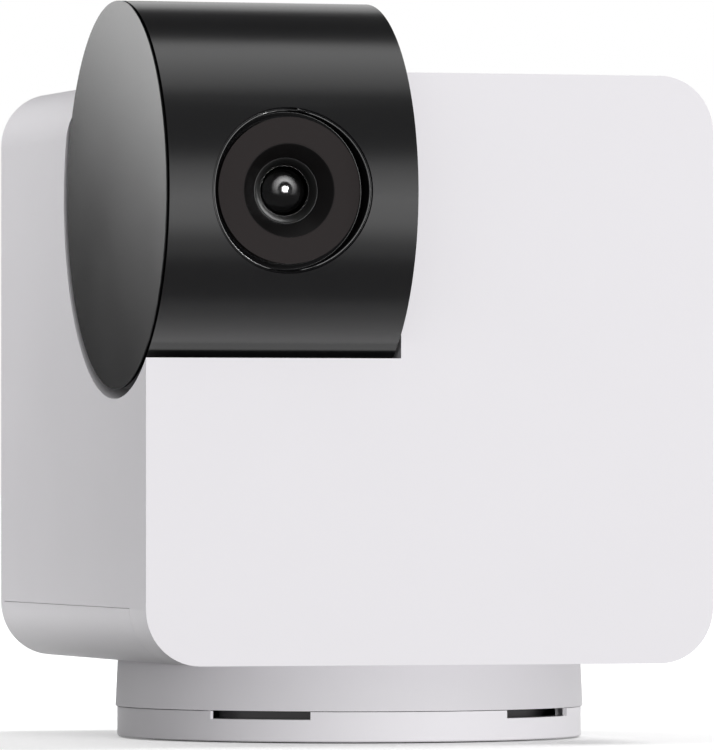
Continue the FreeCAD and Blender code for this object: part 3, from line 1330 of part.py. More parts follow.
def make_port():
    """Bezel, dark window and hood round the lens."""
    lip = "(port_radius - bezel_wall)"
    ring = turned("bezel_ring", [
        ("window_radius + fit_play", BEZEL_SEAT),
        ("port_radius - fit_play", BEZEL_SEAT),
        ("port_radius - fit_play", "head_radius + over_cut"),
        (lip, "head_radius + over_cut"),
        (lip, f"{BEZEL_SEAT} + bezel_foot"),
        ("window_radius + fit_play", f"{BEZEL_SEAT} + bezel_foot"),
    ], **ON_LENS)
    inside = rod("bezel_trim", "head_radius - bezel_sink", "cube_width", f"0 - {SIDE}", TILT_Y,
                 TILT_Z, RIGHT)
    keep("lens_bezel", common("lens_bezel", ring, inside))
    keep("ir_window", tube("ir_window", "hood_radius + fit_play", "window_radius", SHELF,
                           WINDOW_FACE, **ON_LENS))
    board_back = f"({SHELF_BACK} - ir_board)"
    keep("lens_hood", turned("lens_hood", [
        ("lens_radius + fit_play", HOLDER_FACE),
        ("hood_radius", HOLDER_FACE),
        ("hood_radius", f"{board_back} - ir_board"),
        ("window_radius - shelf_width", f"{board_back} - ir_board"),
        ("window_radius - shelf_width", board_back),
        ("hood_radius", board_back),
        ("hood_radius", WINDOW_FACE),
        ("hood_radius - hood_lip", WINDOW_FACE),
        ("lens_radius + fit_play", LENS_FACE),
    ], **ON_LENS))
    keep("ir_board", tube("ir_board", "hood_radius + fit_play", "port_radius", board_back,
                          SHELF_BACK, **ON_LENS))
    count = round(value("led_count"))
    lights = []
    for index in range(count):
        light = block(f"ir_led_{index}", around("led_circle", "led_side / 2"),
                      around(0, "led_side / 2"), ("0", "led_depth"))
        place(light, LENS_X, ahead(SHELF_BACK), TILT_Z,
              FORWARD.multiply(Rotation(Vector(0, 0, 1), 360 * index / count)))
        spin = Rotation(Vector(0, 0, 1), 360 * index / count)
        offset = spin.multVec(Vector(1, 0, 0)), spin.multVec(Vector(0, 1, 0))
        across = "led_circle - led_side / 2"
        light.setExpression("Placement.Base.x", tied(
            f"{LENS_X} + ({across}) * {offset[0].x:.6f} - led_side / 2 * {offset[1].x:.6f}"))
        light.setExpression("Placement.Base.z", tied(
            f"{TILT_Z} + ({across}) * {offset[0].y:.6f} - led_side / 2 * {offset[1].y:.6f}"))
        lights.append(light)
    keep("ir_leds", group("ir_leds", *lights))


def make_lens():
    """Lens, its holder and the sensor behind it."""
    keep("lens_barrel", turned("lens_barrel", [
        ("lens_radius", f"{LENS_FACE} - lens_length"),
        ("lens_radius", LENS_FACE),
        ("lens_radius - lens_edge", LENS_FACE),
        ("glass_radius", GLASS_FACE),
        ("glass_radius", f"{GLASS_FACE} - glass_seat"),
        ("glass_radius - lens_wall", f"{GLASS_FACE} - glass_seat"),
        ("glass_radius - lens_wall", f"{LENS_FACE} - lens_length"),
    ], **ON_LENS))
    ball = doc.addObject("Part::Sphere", "front_lens_ball")
    bind(ball, Radius="glass_curve")
    place(ball, LENS_X, ahead(f"{GLASS_FACE} + glass_rise - glass_curve"), TILT_Z)
    keep("front_lens", common("front_lens", ball, rod(
        "front_lens_edge", "glass_radius - fit_play", "glass_seat + glass_rise + over_cut", LENS_X,
        ahead(f"{GLASS_FACE} - glass_seat"), TILT_Z, FORWARD)))
    keep("inner_lens", rod("inner_lens", "glass_radius - lens_wall - fit_play", "inner_glass",
                           LENS_X, ahead(f"{LENS_FACE} - inner_sink"), TILT_Z, FORWARD))
    half = "(holder_side / 2)"
    holder = block("holder_block", around(LENS_X, half), (ahead(HOLDER_FACE), ahead("sensor_rise")),
                   around(TILT_Z, half))
    room = "(chip_size / 2 + sink_gap)"
    hollow = [
        rod("holder_bore", "lens_radius + fit_play", "holder_depth + over_cut", LENS_X,
            ahead(f"{FILTER_TOP} + stop_gap / 2"), TILT_Z, FORWARD),
        block("holder_chip_room", around(LENS_X, room),
              (ahead(FILTER_TOP), ahead("sensor_rise - over_cut")),
              around(TILT_Z, room)),
        block("holder_filter_room",
              (f"{LENS_X} - filter_travel - filter_window - filter_edge - stop_gap",
               f"{LENS_X} + filter_travel + filter_window + filter_edge + stop_gap"),
              (ahead(f"{FILTER_TOP} + stop_gap"), ahead(f"{FILTER_LOW} - stop_gap")),
              around(TILT_Z, "filter_side / 2 + stop_gap"))]
    keep("lens_holder", cut("lens_holder", holder, *hollow))
    keep("image_sensor", block("image_sensor", around(LENS_X, "chip_size / 2"),
                               (ahead("sensor_rise + chip_rise"), ahead("sensor_rise")),
                               around(TILT_Z, "chip_size / 2")))
    back = "(sensor_rise - sensor_thick)"
    board = block("sensor_board_blank", around(LENS_X, "sensor_side / 2"),
                  (ahead("sensor_rise"), ahead(back)), around(TILT_Z, "sensor_side / 2"))
    plug = block("sensor_plug", around(LENS_X, "plug_width / 2"),
                 (ahead(back), ahead(f"{back} - sensor_plug")), around(TILT_Z, "plug_height / 2"))
    holes, screws = [], []
    for index, (x, z) in enumerate(SENSOR_SPOTS):
        holes.append(rod(f"sensor_hole_{index}", "screw_radius + screw_play",
                         "sensor_thick + over_cut * 2", x, ahead(f"{back} - over_cut"), z, FORWARD))
        screws.append(screw(f"sensor_screw_{index}", "sensor_thick + sensor_screw", x,
                            ahead(back), z, BACKWARD))
    keep("sensor_board", cut("sensor_board", joined("sensor_board_whole", board, plug), *holes))
    keep("sensor_screws", group("sensor_screws", *screws))
    keep("head_lead", lead("head_lead", "head_lead", [
        (LENS_X, ahead(f"{back} - sensor_plug"), TILT_Z), (LENS_X, TILT_Y, TILT_Z),
        (f"{TILT_GEAR_END} + cable_reach", TILT_Y, TILT_Z)]))


def make_filter():
    """Day and night filter: a carrier with two windows that slides across the sensor."""
    plate = block("filter_plate",
                  (f"{LENS_X} - filter_travel - filter_window - filter_edge",
                   f"{LENS_X} + filter_window + filter_edge"),
                  (ahead(FILTER_TOP), ahead(FILTER_LOW)), around(TILT_Z, "filter_side / 2"))
    holes, glasses = [], []
    for index, x in enumerate((LENS_X, f"({LENS_X} - filter_travel)")):
        holes.append(rod(f"filter_hole_{index}", "filter_window", "filter_thick + over_cut * 2", x,
                         ahead(f"{FILTER_LOW} - over_cut"), TILT_Z, FORWARD))
        glasses.append(rod(f"filter_glass_{index}", "filter_window - fit_play", "filter_thick", x,
                           ahead(FILTER_LOW), TILT_Z, FORWARD))
    keep("ircut_carrier", cut("ircut_carrier", plate, *holes))
    keep("filter_glass", group("filter_glass", *glasses))


MAKERS = [make_foot, make_tray, make_ballast, make_insert, make_pan_gear, make_retainer,
          make_skirt, make_bottom_cover, make_housing, make_back_cover, make_cover_screws,
          make_bushes, make_pan_drive, make_tilt_drive, make_main_board, make_power_board,
          make_socket, make_button, make_speaker, make_wiring, make_barrel, make_end_cap,
          make_port, make_lens, make_filter]
for make in MAKERS:
    make()

# ------------------------------------------------------------------ checks and files
doc.recompute()
for item in doc.Objects:
    if {"Invalid", "Error"} & set(item.State):
        raise RuntimeError(f"{item.Name} failed: {item.State}")
for thing in subparts:
    if thing.Shape.isNull() or not thing.Shape.isValid() or not thing.Shape.Solids:
        raise RuntimeError(f"{thing.Label} has no sound solid")
os.makedirs("parts", exist_ok=True)
for thing in subparts:
    thing.Shape.exportStep(f"parts/{thing.Label}.step")
print(f"{len(subparts)} sub-parts written")
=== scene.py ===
# %% [markdown]
# A pan and tilt pet camera: a white cube on a low round base, with a glossy black barrel set
# into its upper left front edge. The real one is moulded plastic throughout. Everything with a
# real shape comes from the CAD model, so this lesson is mostly about finishes and light: how a
# few kinds of plastic, glass, metal and rubber are told apart by roughness, depth and grain.

# %% Load the CAD model
import math

import bpy
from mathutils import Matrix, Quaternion, Vector


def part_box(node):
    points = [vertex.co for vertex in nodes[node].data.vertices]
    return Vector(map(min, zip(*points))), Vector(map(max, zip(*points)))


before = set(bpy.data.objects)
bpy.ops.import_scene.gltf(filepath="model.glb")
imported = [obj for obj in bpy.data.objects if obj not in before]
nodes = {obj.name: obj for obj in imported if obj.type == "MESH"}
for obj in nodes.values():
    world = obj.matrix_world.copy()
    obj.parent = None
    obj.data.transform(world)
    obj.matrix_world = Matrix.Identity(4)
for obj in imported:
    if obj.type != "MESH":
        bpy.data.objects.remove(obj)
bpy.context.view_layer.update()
print(len(nodes), "CAD pieces")

# %% [markdown]
# Every size in this file is in metres, which makes small plastic parts awkward to read. A small
# unit helps: 0.35 * MM is easier to check against a calliper than 0.00035. Lamps take their places
# from the CAD pieces, so the middle and the span of a piece are worth a helper.

# %% Units and the pieces that others are measured from
MM = 0.001


def middle(node):
    """The middle of a CAD node's box."""
    low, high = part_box(node)
    return (low + high) / 2


def span(node):
    """How far a CAD node reaches along X, Y and Z."""
    low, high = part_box(node)
    return high - low


cube_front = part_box("main_housing")[0].y
tilt_axis = middle("tilt_gear")
lens_axis = middle("lens_barrel")
print("cube", [round(v / MM, 1) for v in span("main_housing")], "mm, tilt axis",
      round(tilt_axis.z / MM, 1), "mm above the floor")

# %% [markdown]
# Every finish here is a small network of nodes, and building one by hand repeats three moves:
# add a node, give each socket a number or another node's output, and work something out on the
# way. So these moves become helpers. A ramp turns a value into a share: it is nought up to one
# end and whole from the other, and it may run either way. A Mix node has sockets for numbers,
# vectors and colours under the same names, so the colour ones go by their number.

# %% Helpers for nodes
WHITE = (1.0, 1.0, 1.0, 1.0)
MIX_SHARE, MIX_NOUGHT, MIX_ONE, MIX_RESULT = 0, 6, 7, 2


def feed(tree, value, socket):
    """Gives a socket a number or a colour, or joins another node's output to it."""
    if isinstance(value, bpy.types.NodeSocket):
        tree.links.new(value, socket)
    else:
        socket.default_value = value


def add_node(tree, kind, **inputs):
    """A node of this kind, with its sockets fed by name."""
    node = tree.nodes.new(kind)
    for name, value in inputs.items():
        feed(tree, value, node.inputs[name.replace("_", " ")])
    return node


def calculate(tree, operation, *terms):
    """What a Math node makes of these terms."""
    node = add_node(tree, "ShaderNodeMath")
    node.operation = operation
    for term, socket in zip(terms, node.inputs):
        feed(tree, term, socket)
    return node.outputs[0]


def length(tree, vector):
    """How long a node's vector is."""
    node = add_node(tree, "ShaderNodeVectorMath", Vector=vector)
    node.operation = "LENGTH"
    return node.outputs["Value"]


def ramp(tree, value, start, end, low=0.0, high=1.0, ease="LINEAR"):
    """Goes from low to high as the value goes from start to end, and stays there beyond."""
    node = add_node(tree, "ShaderNodeMapRange", Value=value, From_Min=start, From_Max=end,
                    To_Min=low, To_Max=high)
    node.interpolation_type = ease
    return node.outputs["Result"]


print("a colour mix goes from socket", MIX_NOUGHT, "to socket", MIX_ONE)

# %% [markdown]
# All of the finishes start from the same Principled shader, so one class makes it, and lets each
# finish add its own texture. Textures are read in Object coordinates, which are metres here: a
# noise of 1000 per metre has grains about a millimetre apart, on every piece alike. Colour and
# roughness drift with slow noise, as moulded plastic does, and a fine grain is only shaded.

# %% A material under construction
materials = {}


class Finish:
    """A Principled material under construction."""

    def __init__(self, name, colour, roughness, metallic=0.0, specular=0.5):
        self.material = bpy.data.materials.new(name)
        self.material.use_nodes = True
        self.tree = self.material.node_tree
        self.shader = self.tree.nodes["Principled BSDF"]
        self.colour = colour
        self.roughness = roughness
        self.set("Base Color", (*colour, 1.0))
        self.set("Roughness", roughness)
        self.set("Metallic", metallic)
        self.set("Specular IOR Level", specular)
        self.place = add_node(self.tree, "ShaderNodeTexCoord").outputs["Object"]
        materials[name] = self.material

    def set(self, socket, value):
        """Feeds one of the shader's own sockets."""
        feed(self.tree, value, self.shader.inputs[socket])

    def noise(self, per_metre, detail=2.0, stretch=None):
        """Noise in object space; stretch squeezes it along an axis to make streaks."""
        place = self.place
        if stretch:
            squeeze = add_node(self.tree, "ShaderNodeMapping", Vector=place, Scale=stretch)
            place = squeeze.outputs["Vector"]
        noise = add_node(self.tree, "ShaderNodeTexNoise", Vector=place, Scale=per_metre,
                         Detail=detail)
        return noise.outputs["Fac"]

    def mix(self, share, nought, one):
        """A colour that goes from one to the other as the share goes from nought to one."""
        node = add_node(self.tree, "ShaderNodeMix")
        node.data_type = "RGBA"
        for value, number in ((share, MIX_SHARE), (nought, MIX_NOUGHT), (one, MIX_ONE)):
            feed(self.tree, value, node.inputs[number])
        return node.outputs[MIX_RESULT]

    def vary_colour(self, texture, by):
        """Lets the colour drift up and down by this share."""
        darker = [c * (1 - by) for c in self.colour]
        lighter = [min(1.0, c * (1 + by)) for c in self.colour]
        drifting = self.mix(texture, (*darker, 1.0), (*lighter, 1.0))
        self.set("Base Color", drifting)
        return drifting

    def vary_roughness(self, texture, by):
        """Lets the roughness drift about its middle value."""
        low, high = max(0.0, self.roughness - by), self.roughness + by
        self.set("Roughness", ramp(self.tree, texture, 0.0, 1.0, low, high))

    def grain(self, texture, depth):
        """Raises the surface by up to this depth in metres, for shading only."""
        bump = add_node(self.tree, "ShaderNodeBump", Strength=1.0, Distance=depth, Height=texture)
        self.set("Normal", bump.outputs["Normal"])


def dress(material_name, *node_names):
    """Gives CAD nodes a finish."""
    for name in node_names:
        mesh = nodes[name].data
        mesh.materials.clear()
        mesh.materials.append(materials[material_name])
    print(material_name, "on", len(node_names), "pieces")


# %% [markdown]
# The cube and its two rings are one white plastic. On the real object it isn't quite white but
# very slightly pink and violet, with the fine satin of a sparked mould: no single grain shows,
# but highlights spread softly. A tight noise drives the grain, and a slow one lets the
# colour and the gloss drift by a percent or two, as moulded plastic does.

# %% White moulded shell
shell = Finish("shell_white", (0.835, 0.818, 0.848), 0.42, specular=0.4)
slow = shell.noise(per_metre=60, detail=3.0)
shell.vary_colour(slow, by=0.012)
shell.vary_roughness(slow, by=0.04)
shell.grain(shell.noise(per_metre=5200), depth=0.006 * MM)
dress("shell_white", "main_housing", "bottom_cover", "back_cover", "turntable_skirt", "base_tray")

# %% [markdown]
# The barrel is polished black plastic. Its own colour hardly counts: what is seen is the room, so
# its light comes from long soft lamps that the last cells set. A real polished moulding
# still has a faint ripple and fine wipe marks, so the roughness drifts a little.

# %% Polished black barrel
gloss = Finish("gloss_black", (0.004, 0.004, 0.0045), 0.23, specular=0.35)
gloss.vary_colour(gloss.noise(per_metre=90), by=0.1)
gloss.vary_roughness(gloss.noise(per_metre=45, detail=3.0), by=0.025)
gloss.grain(gloss.noise(per_metre=160), depth=0.004 * MM)
dress("gloss_black", "head_barrel")

# %% [markdown]
# The disc on the barrel's end is black too but has a satin face, so it shows a broad soft
# reflection instead of a picture of the room. Satin paint has a finer, denser grain.

# %% Satin black end cap
satin = Finish("satin_black", (0.008, 0.0078, 0.0082), 0.18, specular=0.27)
satin.vary_colour(satin.noise(per_metre=120), by=0.08)
satin.vary_roughness(satin.noise(per_metre=80, detail=3.0), by=0.015)
satin.grain(satin.noise(per_metre=7000), depth=0.003 * MM)
dress("satin_black", "head_end_cap")

# %% [markdown]
# Round the lens are four blacks: a bezel, a dark window that lets infrared through, the hood that
# leads down to the lens, and the lens barrel. The hood and the barrel have to swallow stray
# light, so they are matt and reflect very little. The window is very slightly brown.

# %% Bezel, window, hood and lens barrel
bezel = Finish("bezel_black", (0.003, 0.003, 0.0033), 0.4, specular=0.05)
bezel.vary_roughness(bezel.noise(per_metre=150), by=0.03)
bezel.vary_colour(bezel.noise(per_metre=90), by=0.1)
dress("bezel_black", "lens_bezel")

window = Finish("dark_window", (0.0185, 0.0155, 0.0155), 0.6, specular=0.1)
window.vary_roughness(window.noise(per_metre=100), by=0.02)
window.vary_colour(window.noise(per_metre=200), by=0.04)
dress("dark_window", "ir_window")

hood = Finish("hood_black", (0.003, 0.0026, 0.0027), 0.4, specular=0.06)
hood.vary_roughness(hood.noise(per_metre=300), by=0.05)
hood.vary_colour(hood.noise(per_metre=300), by=0.1)
dress("hood_black", "lens_hood")

matt = Finish("lens_black", (0.003, 0.003, 0.003), 0.4, specular=0.05)
matt.vary_roughness(matt.noise(per_metre=400), by=0.06)
matt.vary_colour(matt.noise(per_metre=400), by=0.1)
matt.grain(matt.noise(per_metre=4000), depth=0.004 * MM)
dress("lens_black", "lens_barrel", "lens_holder", "ircut_carrier")

# %% [markdown]
# The bezel and the lens barrel are matt, but their edges are turned and polished, and catch the
# light as thin rings. A bevel modifier breaks the edges and gives them a second material. The
# CAD mesh is split along its sharp edges, so a weld has to join the faces first, and weighted
# normals keep the flat faces flat in shading.

# %% Polished edges
EDGE_SEGMENTS = 3
SHARPER_THAN = math.radians(40)
JOIN_WITHIN = 0.001 * MM

polished = Finish("polished_edge", (0.012, 0.012, 0.013), 0.18, specular=0.9)
polished.vary_roughness(polished.noise(per_metre=200), by=0.04)
polished.vary_colour(polished.noise(per_metre=200), by=0.1)


def polish_edges(node_name, width):
    """Breaks a CAD node's sharp edges, and polishes them."""
    piece = nodes[node_name]
    piece.data.materials.append(materials["polished_edge"])
    weld = piece.modifiers.new("joined_faces", "WELD")
    weld.merge_threshold = JOIN_WITHIN
    bevel = piece.modifiers.new("broken_edges", "BEVEL")
    bevel.width = width
    bevel.segments = EDGE_SEGMENTS
    bevel.limit_method = "ANGLE"
    bevel.angle_limit = SHARPER_THAN
    bevel.material = len(piece.data.materials) - 1
    bevel.use_clamp_overlap = False
    smooth = piece.modifiers.new("even_shading", "WEIGHTED_NORMAL")
    smooth.keep_sharp = False
    print(node_name, "edges broken by", round(width / MM, 2), "mm")


polish_edges("lens_bezel", 0.16 * MM)
polish_edges("lens_barrel", 0.1 * MM)

# %% [markdown]
# Glass is the same shader with its transmission turned up. A lens is coated so that it reflects
# very little, which a low IOR stands in for, and what gets in is swallowed behind it: from outside
# it is nearly black, with one small bright lamp in it.

# %% Lens glass
COATED_IOR = 1.2
glass = Finish("lens_glass", (0.004, 0.0045, 0.006), 0.1)
glass.set("Transmission Weight", 1.0)
glass.set("IOR", COATED_IOR)
glass.vary_colour(glass.noise(per_metre=300, detail=1.0), by=0.02)
dress("lens_glass", "front_lens", "inner_lens", "filter_glass")

# %% [markdown]
# Rubber has no clear highlight at all. The foot and the microphone's boot get a high roughness
# and a coarse, shallow grain. The leads' jackets are smoother, so they have a little gloss.

# %% Rubber, for the foot and the leads
rubber = Finish("foot_rubber", (0.03, 0.03, 0.03), 0.75, specular=0.3)
rubber.vary_roughness(rubber.noise(per_metre=500), by=0.08)
rubber.vary_colour(rubber.noise(per_metre=250), by=0.1)
rubber.grain(rubber.noise(per_metre=2500, detail=3.0), depth=0.02 * MM)
dress("foot_rubber", "foot_pad", "voice_boot")

jacket = Finish("lead_grey", (0.05, 0.05, 0.055), 0.5, specular=0.4)
jacket.vary_roughness(jacket.noise(per_metre=600), by=0.06)
jacket.vary_colour(jacket.noise(per_metre=300), by=0.08)
dress("lead_grey", "wiring", "head_cable", "head_lead")

# %% [markdown]
# Metals have a Metallic of 1, and their colour is the colour of their reflection. Brushed or
# turned marks are noise squeezed along one axis. Seven metals differ in colour and roughness
# alone, so a table gives those two and the pieces, and a loop does the rest.

# %% Metals
METALS = {
    "plate_steel": ((0.45, 0.45, 0.46), 0.38, ("pan_retainer", "speaker_magnet")),
    # the ballast plate is blackened steel; its near-black is also partly painted shade, keeping
    # the base's slots dark where they show the plate
    "plate_black": ((0.13, 0.127, 0.13), 0.5, ("ballast_plate",)),
    "screw_steel": ((0.34, 0.34, 0.35), 0.32, ("base_screws", "cover_screws", "motor_screws",
                                               "board_screws", "sensor_screws",
                                               "tilt_gear_screws")),
    "insert_brass": ((0.72, 0.52, 0.24), 0.3, ("tripod_insert", "pan_pinion", "tilt_pinion")),
    "motor_metal": ((0.58, 0.58, 0.6), 0.34, ("pan_motor", "tilt_motor", "pan_pinion_shaft",
                                              "tilt_pinion_shaft")),
    "tin_shield": ((0.66, 0.66, 0.66), 0.3, ("wifi_shield", "usb_port")),
    "sink_aluminium": ((0.74, 0.74, 0.75), 0.42, ("heatsink",)),
}
for name, (colour, roughness, pieces) in METALS.items():
    metal = Finish(name, colour, roughness, metallic=1.0)
    brushed = metal.noise(per_metre=900, stretch=(1.0, 1.0, 12.0))
    metal.vary_colour(brushed, by=0.06)
    metal.vary_roughness(brushed, by=0.06)
    dress(name, *pieces)

# %% [markdown]
# The other plastics and films sit inside or at the back. They differ in colour and gloss alone,
# so a table and a loop are enough here too. The light pipe and the lamps are clear plastic, which
# lets most of the light through and tints it.

# %% Other plastics
PLASTICS = {
    "gear_white": ((0.8, 0.78, 0.7), 0.4, ("pan_gear", "tilt_gear", "glide_ring", "pan_bush",
                                           "tilt_bush")),
    "board_green": ((0.02, 0.11, 0.05), 0.35, ("main_board", "power_board", "ir_board",
                                               "sensor_board")),
    "chip_black": ((0.02, 0.02, 0.02), 0.5, ("board_chips", "image_sensor", "reset_switch")),
    "antenna_film": ((0.06, 0.05, 0.03), 0.35, ("wifi_antenna",)),
    "speaker_plastic": ((0.03, 0.03, 0.03), 0.5, ("speaker_frame",)),
    "speaker_paper": ((0.1, 0.1, 0.1), 0.8, ("speaker_cone",)),
    "plug_cream": ((0.78, 0.72, 0.58), 0.45, ("lead_plugs",)),
    "button_grey": ((0.32, 0.32, 0.33), 0.45, ("reset_button",)),
}
for name, (colour, roughness, pieces) in PLASTICS.items():
    plastic = Finish(name, colour, roughness, specular=0.4)
    drift = plastic.noise(per_metre=250)
    plastic.vary_colour(drift, by=0.05)
    plastic.vary_roughness(drift, by=0.05)
    plastic.grain(plastic.noise(per_metre=4000), depth=0.004 * MM)
    dress(name, *pieces)

pipe = Finish("pipe_clear", (0.82, 0.9, 0.84), 0.2, specular=0.5)
pipe.set("Transmission Weight", 0.7)
pipe.vary_roughness(pipe.noise(per_metre=400), by=0.05)
dress("pipe_clear", "light_pipe", "ir_leds")

# %% [markdown]
# The object stands on a large flat floor. Beyond it there is only the white of the world, which
# runs into the white of the floor, so the studio needs no wall.

# %% The floor
FLOOR_WIDTH = 24.0


def rectangle(name, width, height):
    """A flat mesh with its middle at its origin."""
    x, y = width / 2, height / 2
    mesh = bpy.data.meshes.new(name)
    mesh.from_pydata([(-x, -y, 0), (x, -y, 0), (x, y, 0), (-x, y, 0)], [], [(0, 1, 2, 3)])
    return mesh


def put(name, data):
    """A new object of this mesh, lamp or camera, in the scene."""
    thing = bpy.data.objects.new(name, data)
    bpy.context.scene.collection.objects.link(thing)
    return thing


floor = put("studio_floor", rectangle("studio_floor", FLOOR_WIDTH, FLOOR_WIDTH))
print("floor", FLOOR_WIDTH, "m wide")

# %% [markdown]
# A camera looking along a floor sees its far part lit less than its near part, so a plain white
# floor would show a grey horizon. The usual studio answer is a white that glows a little for the
# camera alone, and more further out: the floor keeps the shadow, since that is missing light, and
# nothing of the glow falls on the object. The light that the floor throws back is held low too,
# as black flags beside an object do, so that its sides keep their shading.

# %% A white that glows for what looks at it
BOUNCE = (0.14, 0.14, 0.14, 1.0)
NEAR_GLOW, FAR_GLOW = 0.24, 0.45
FAR_FROM, FAR_TO = 0.2, 0.9


def seen_directly(tree):
    """One where the camera, a reflection or glass sees the surface, nought where light falls."""
    path = add_node(tree, "ShaderNodeLightPath")
    total = path.outputs["Is Camera Ray"]
    for kind in ("Is Glossy Ray", "Is Transmission Ray"):
        total = calculate(tree, "MAXIMUM", total, path.outputs[kind])
    return total


floor_white = Finish("floor_white", (0.85, 0.85, 0.85), 0.9, specular=0.1)
drifting = floor_white.vary_colour(floor_white.noise(per_metre=3), by=0.01)
tree = floor_white.tree
seen = seen_directly(tree)
floor_white.set("Base Color", floor_white.mix(seen, BOUNCE, drifting))

near = calculate(tree, "MULTIPLY", seen, NEAR_GLOW)
away = length(tree, add_node(tree, "ShaderNodeNewGeometry").outputs["Position"])
far = ramp(tree, away, FAR_FROM, FAR_TO, high=FAR_GLOW, ease="SMOOTHSTEP")
for_camera = add_node(tree, "ShaderNodeLightPath").outputs["Is Camera Ray"]
glow = add_node(tree, "ShaderNodeEmission",
                Strength=calculate(tree, "MULTIPLY_ADD", for_camera, far, near))
both = add_node(tree, "ShaderNodeAddShader")
feed(tree, floor_white.shader.outputs["BSDF"], both.inputs[0])
feed(tree, glow.outputs["Emission"], both.inputs[1])
feed(tree, both.outputs["Shader"], tree.nodes["Material Output"].inputs["Surface"])
floor.data.materials.append(floor_white.material)
print("the floor glows by", NEAR_GLOW, "near and", NEAR_GLOW + FAR_GLOW, "far away")

# %% [markdown]
# The world is the rest of the studio. Whoever looks at it sees pure white, but as a light it has
# less than half of that strength, so that the lamps can shape the cube.

# %% The studio round it
ROOM_LIGHT = 0.43
BACKGROUND = 1.0
world = bpy.data.worlds.new("studio")
bpy.context.scene.world = world
world.use_nodes = True
tree = world.node_tree
sky = tree.nodes["Background"]
sky.inputs["Color"].default_value = WHITE
feed(tree, ramp(tree, seen_directly(tree), 0.0, 1.0, ROOM_LIGHT, BACKGROUND),
     sky.inputs["Strength"])
print("room light", ROOM_LIGHT, "of the white that is seen")

# %% [markdown]
# Lamps and cards are placed as in a real studio: so far off a centre, on a bearing round it, and
# so high, always facing back to that centre. Light linking decides what a lamp reaches, which
# does the work of the flags and snoots that keep a real lamp off something.

# %% Helpers for lamps
target = Vector((0.0, 0.0, span("main_housing").z / 2))


def bearing(azimuth, elevation):
    """The way towards a bearing in degrees, 0 being in front and 90 to the right."""
    a, e = math.radians(azimuth), math.radians(elevation)
    return Vector((math.sin(a) * math.cos(e), -math.cos(a) * math.cos(e), math.sin(e)))


def aim(thing, centre, azimuth, elevation, distance=0.0, roll=0.0):
    """Puts a lamp or card at a distance from a centre, facing back to it, rolled by degrees."""
    way = bearing(azimuth, elevation)
    thing.location = centre + distance * way
    thing.rotation_mode = "QUATERNION"
    thing.rotation_quaternion = Quaternion(way, math.radians(roll)) @ way.to_track_quat("Z", "Y")
    thing.visible_camera = False
    print(thing.name, "at", [round(v, 2) for v in thing.location])
    return thing


def area_lamp(name, watts, width, height, **where):
    """A rectangular lamp."""
    light = bpy.data.lights.new(name, "AREA")
    light.shape = "RECTANGLE"
    light.size = width
    light.size_y = height
    light.energy = watts
    return aim(put(name, light), **where)


def keep_to(lamp, things, state="INCLUDE"):
    """Lets a lamp reach these objects alone, or with EXCLUDE everything but these."""
    group = bpy.data.collections.new("linked_to_" + lamp.name)
    for thing in things:
        group.objects.link(thing)
    for member in group.collection_objects:
        member.light_linking.link_state = state
    lamp.light_linking.receiver_collection = group


def soft_box(name, watts, width, height, **where):
    """A lamp that lights things, but isn't seen mirrored in them."""
    lamp = area_lamp(name, watts, width, height, **where)
    lamp.visible_glossy = False
    return lamp


print("lamps are aimed at", [round(v / MM, 1) for v in target], "mm")

# %% [markdown]
# A wide soft box in front, just right of the middle and with its foot near the floor, is the key
# light. It is far away, so that a flat face gets the same light all over. One close behind on the
# left lights the side that turns away from it. One high on the right is linked to the floor alone:
# it gives the shadow under the cube, and leaves the cube's top no brighter than its front. The two
# rings of the base stand in the cube's shade, and each has a long low lamp of its own.

# %% Soft boxes
skirt, tray, foot = (nodes[name] for name in ("turntable_skirt", "base_tray", "foot_pad"))
sides = [nodes[name] for name in ("main_housing", "back_cover", "bottom_cover", "head_barrel",
                                  "head_end_cap")]

front_box = soft_box("front_box", watts=29.2, width=1.4, height=0.56, centre=target,
                     azimuth=9, elevation=7, distance=2.0)
keep_to(front_box, [skirt, tray, foot], state="EXCLUDE")
rear_box = soft_box("rear_box", watts=1.42, width=0.4, height=0.16, centre=target,
                    azimuth=-148, elevation=16, distance=0.45)
keep_to(rear_box, [floor] + sides)
floor_box = soft_box("floor_box", watts=12.5, width=0.8, height=0.8, centre=target,
                     azimuth=100, elevation=52, distance=1.5)
keep_to(floor_box, [floor])

LOW_LAMP = {"width": 1.4, "height": 0.05, "centre": Vector((0.0, 0.0, 12 * MM)),
            "elevation": 0.6, "distance": 2.0}
keep_to(soft_box("skirt_box", watts=25, azimuth=10, **LOW_LAMP), [skirt])
keep_to(soft_box("tray_box", watts=30.6, azimuth=17, **LOW_LAMP), [tray, foot])

# %% [markdown]
# Black gloss shows whatever stands round it, so a product photographer builds its highlights one
# by one, with strips of light that are seen in it. An only mirrored strip lights nothing else.
# Where a real soft box would be brighter in the middle than at its edges, a strip fades out
# towards its foot or its top. That takes nodes in the lamp itself, which read where on the lamp
# the light starts.

# %% Helpers for strips of light that are only seen mirrored
WHITE_WATTS = 4.0  # a square metre of lamp looks white at this power


def only_mirrored(thing):
    """Shows a lamp or card in reflections, and nowhere else."""
    thing.visible_diffuse = False
    thing.visible_transmission = False
    thing.visible_shadow = False


def dim(lamp, share):
    """Multiplies a lamp's brightness by a node's output."""
    tree = lamp.data.node_tree
    level = tree.nodes["Emission"].inputs["Strength"]
    before = level.links[0].from_socket if level.is_linked else 1.0
    feed(tree, calculate(tree, "MULTIPLY", share, before), level)


def place_on(lamp):
    """Where on a lamp its light starts, measured from its middle."""
    here = add_node(lamp.data.node_tree, "ShaderNodeTexCoord")
    here.object = lamp
    return here.outputs["Object"]


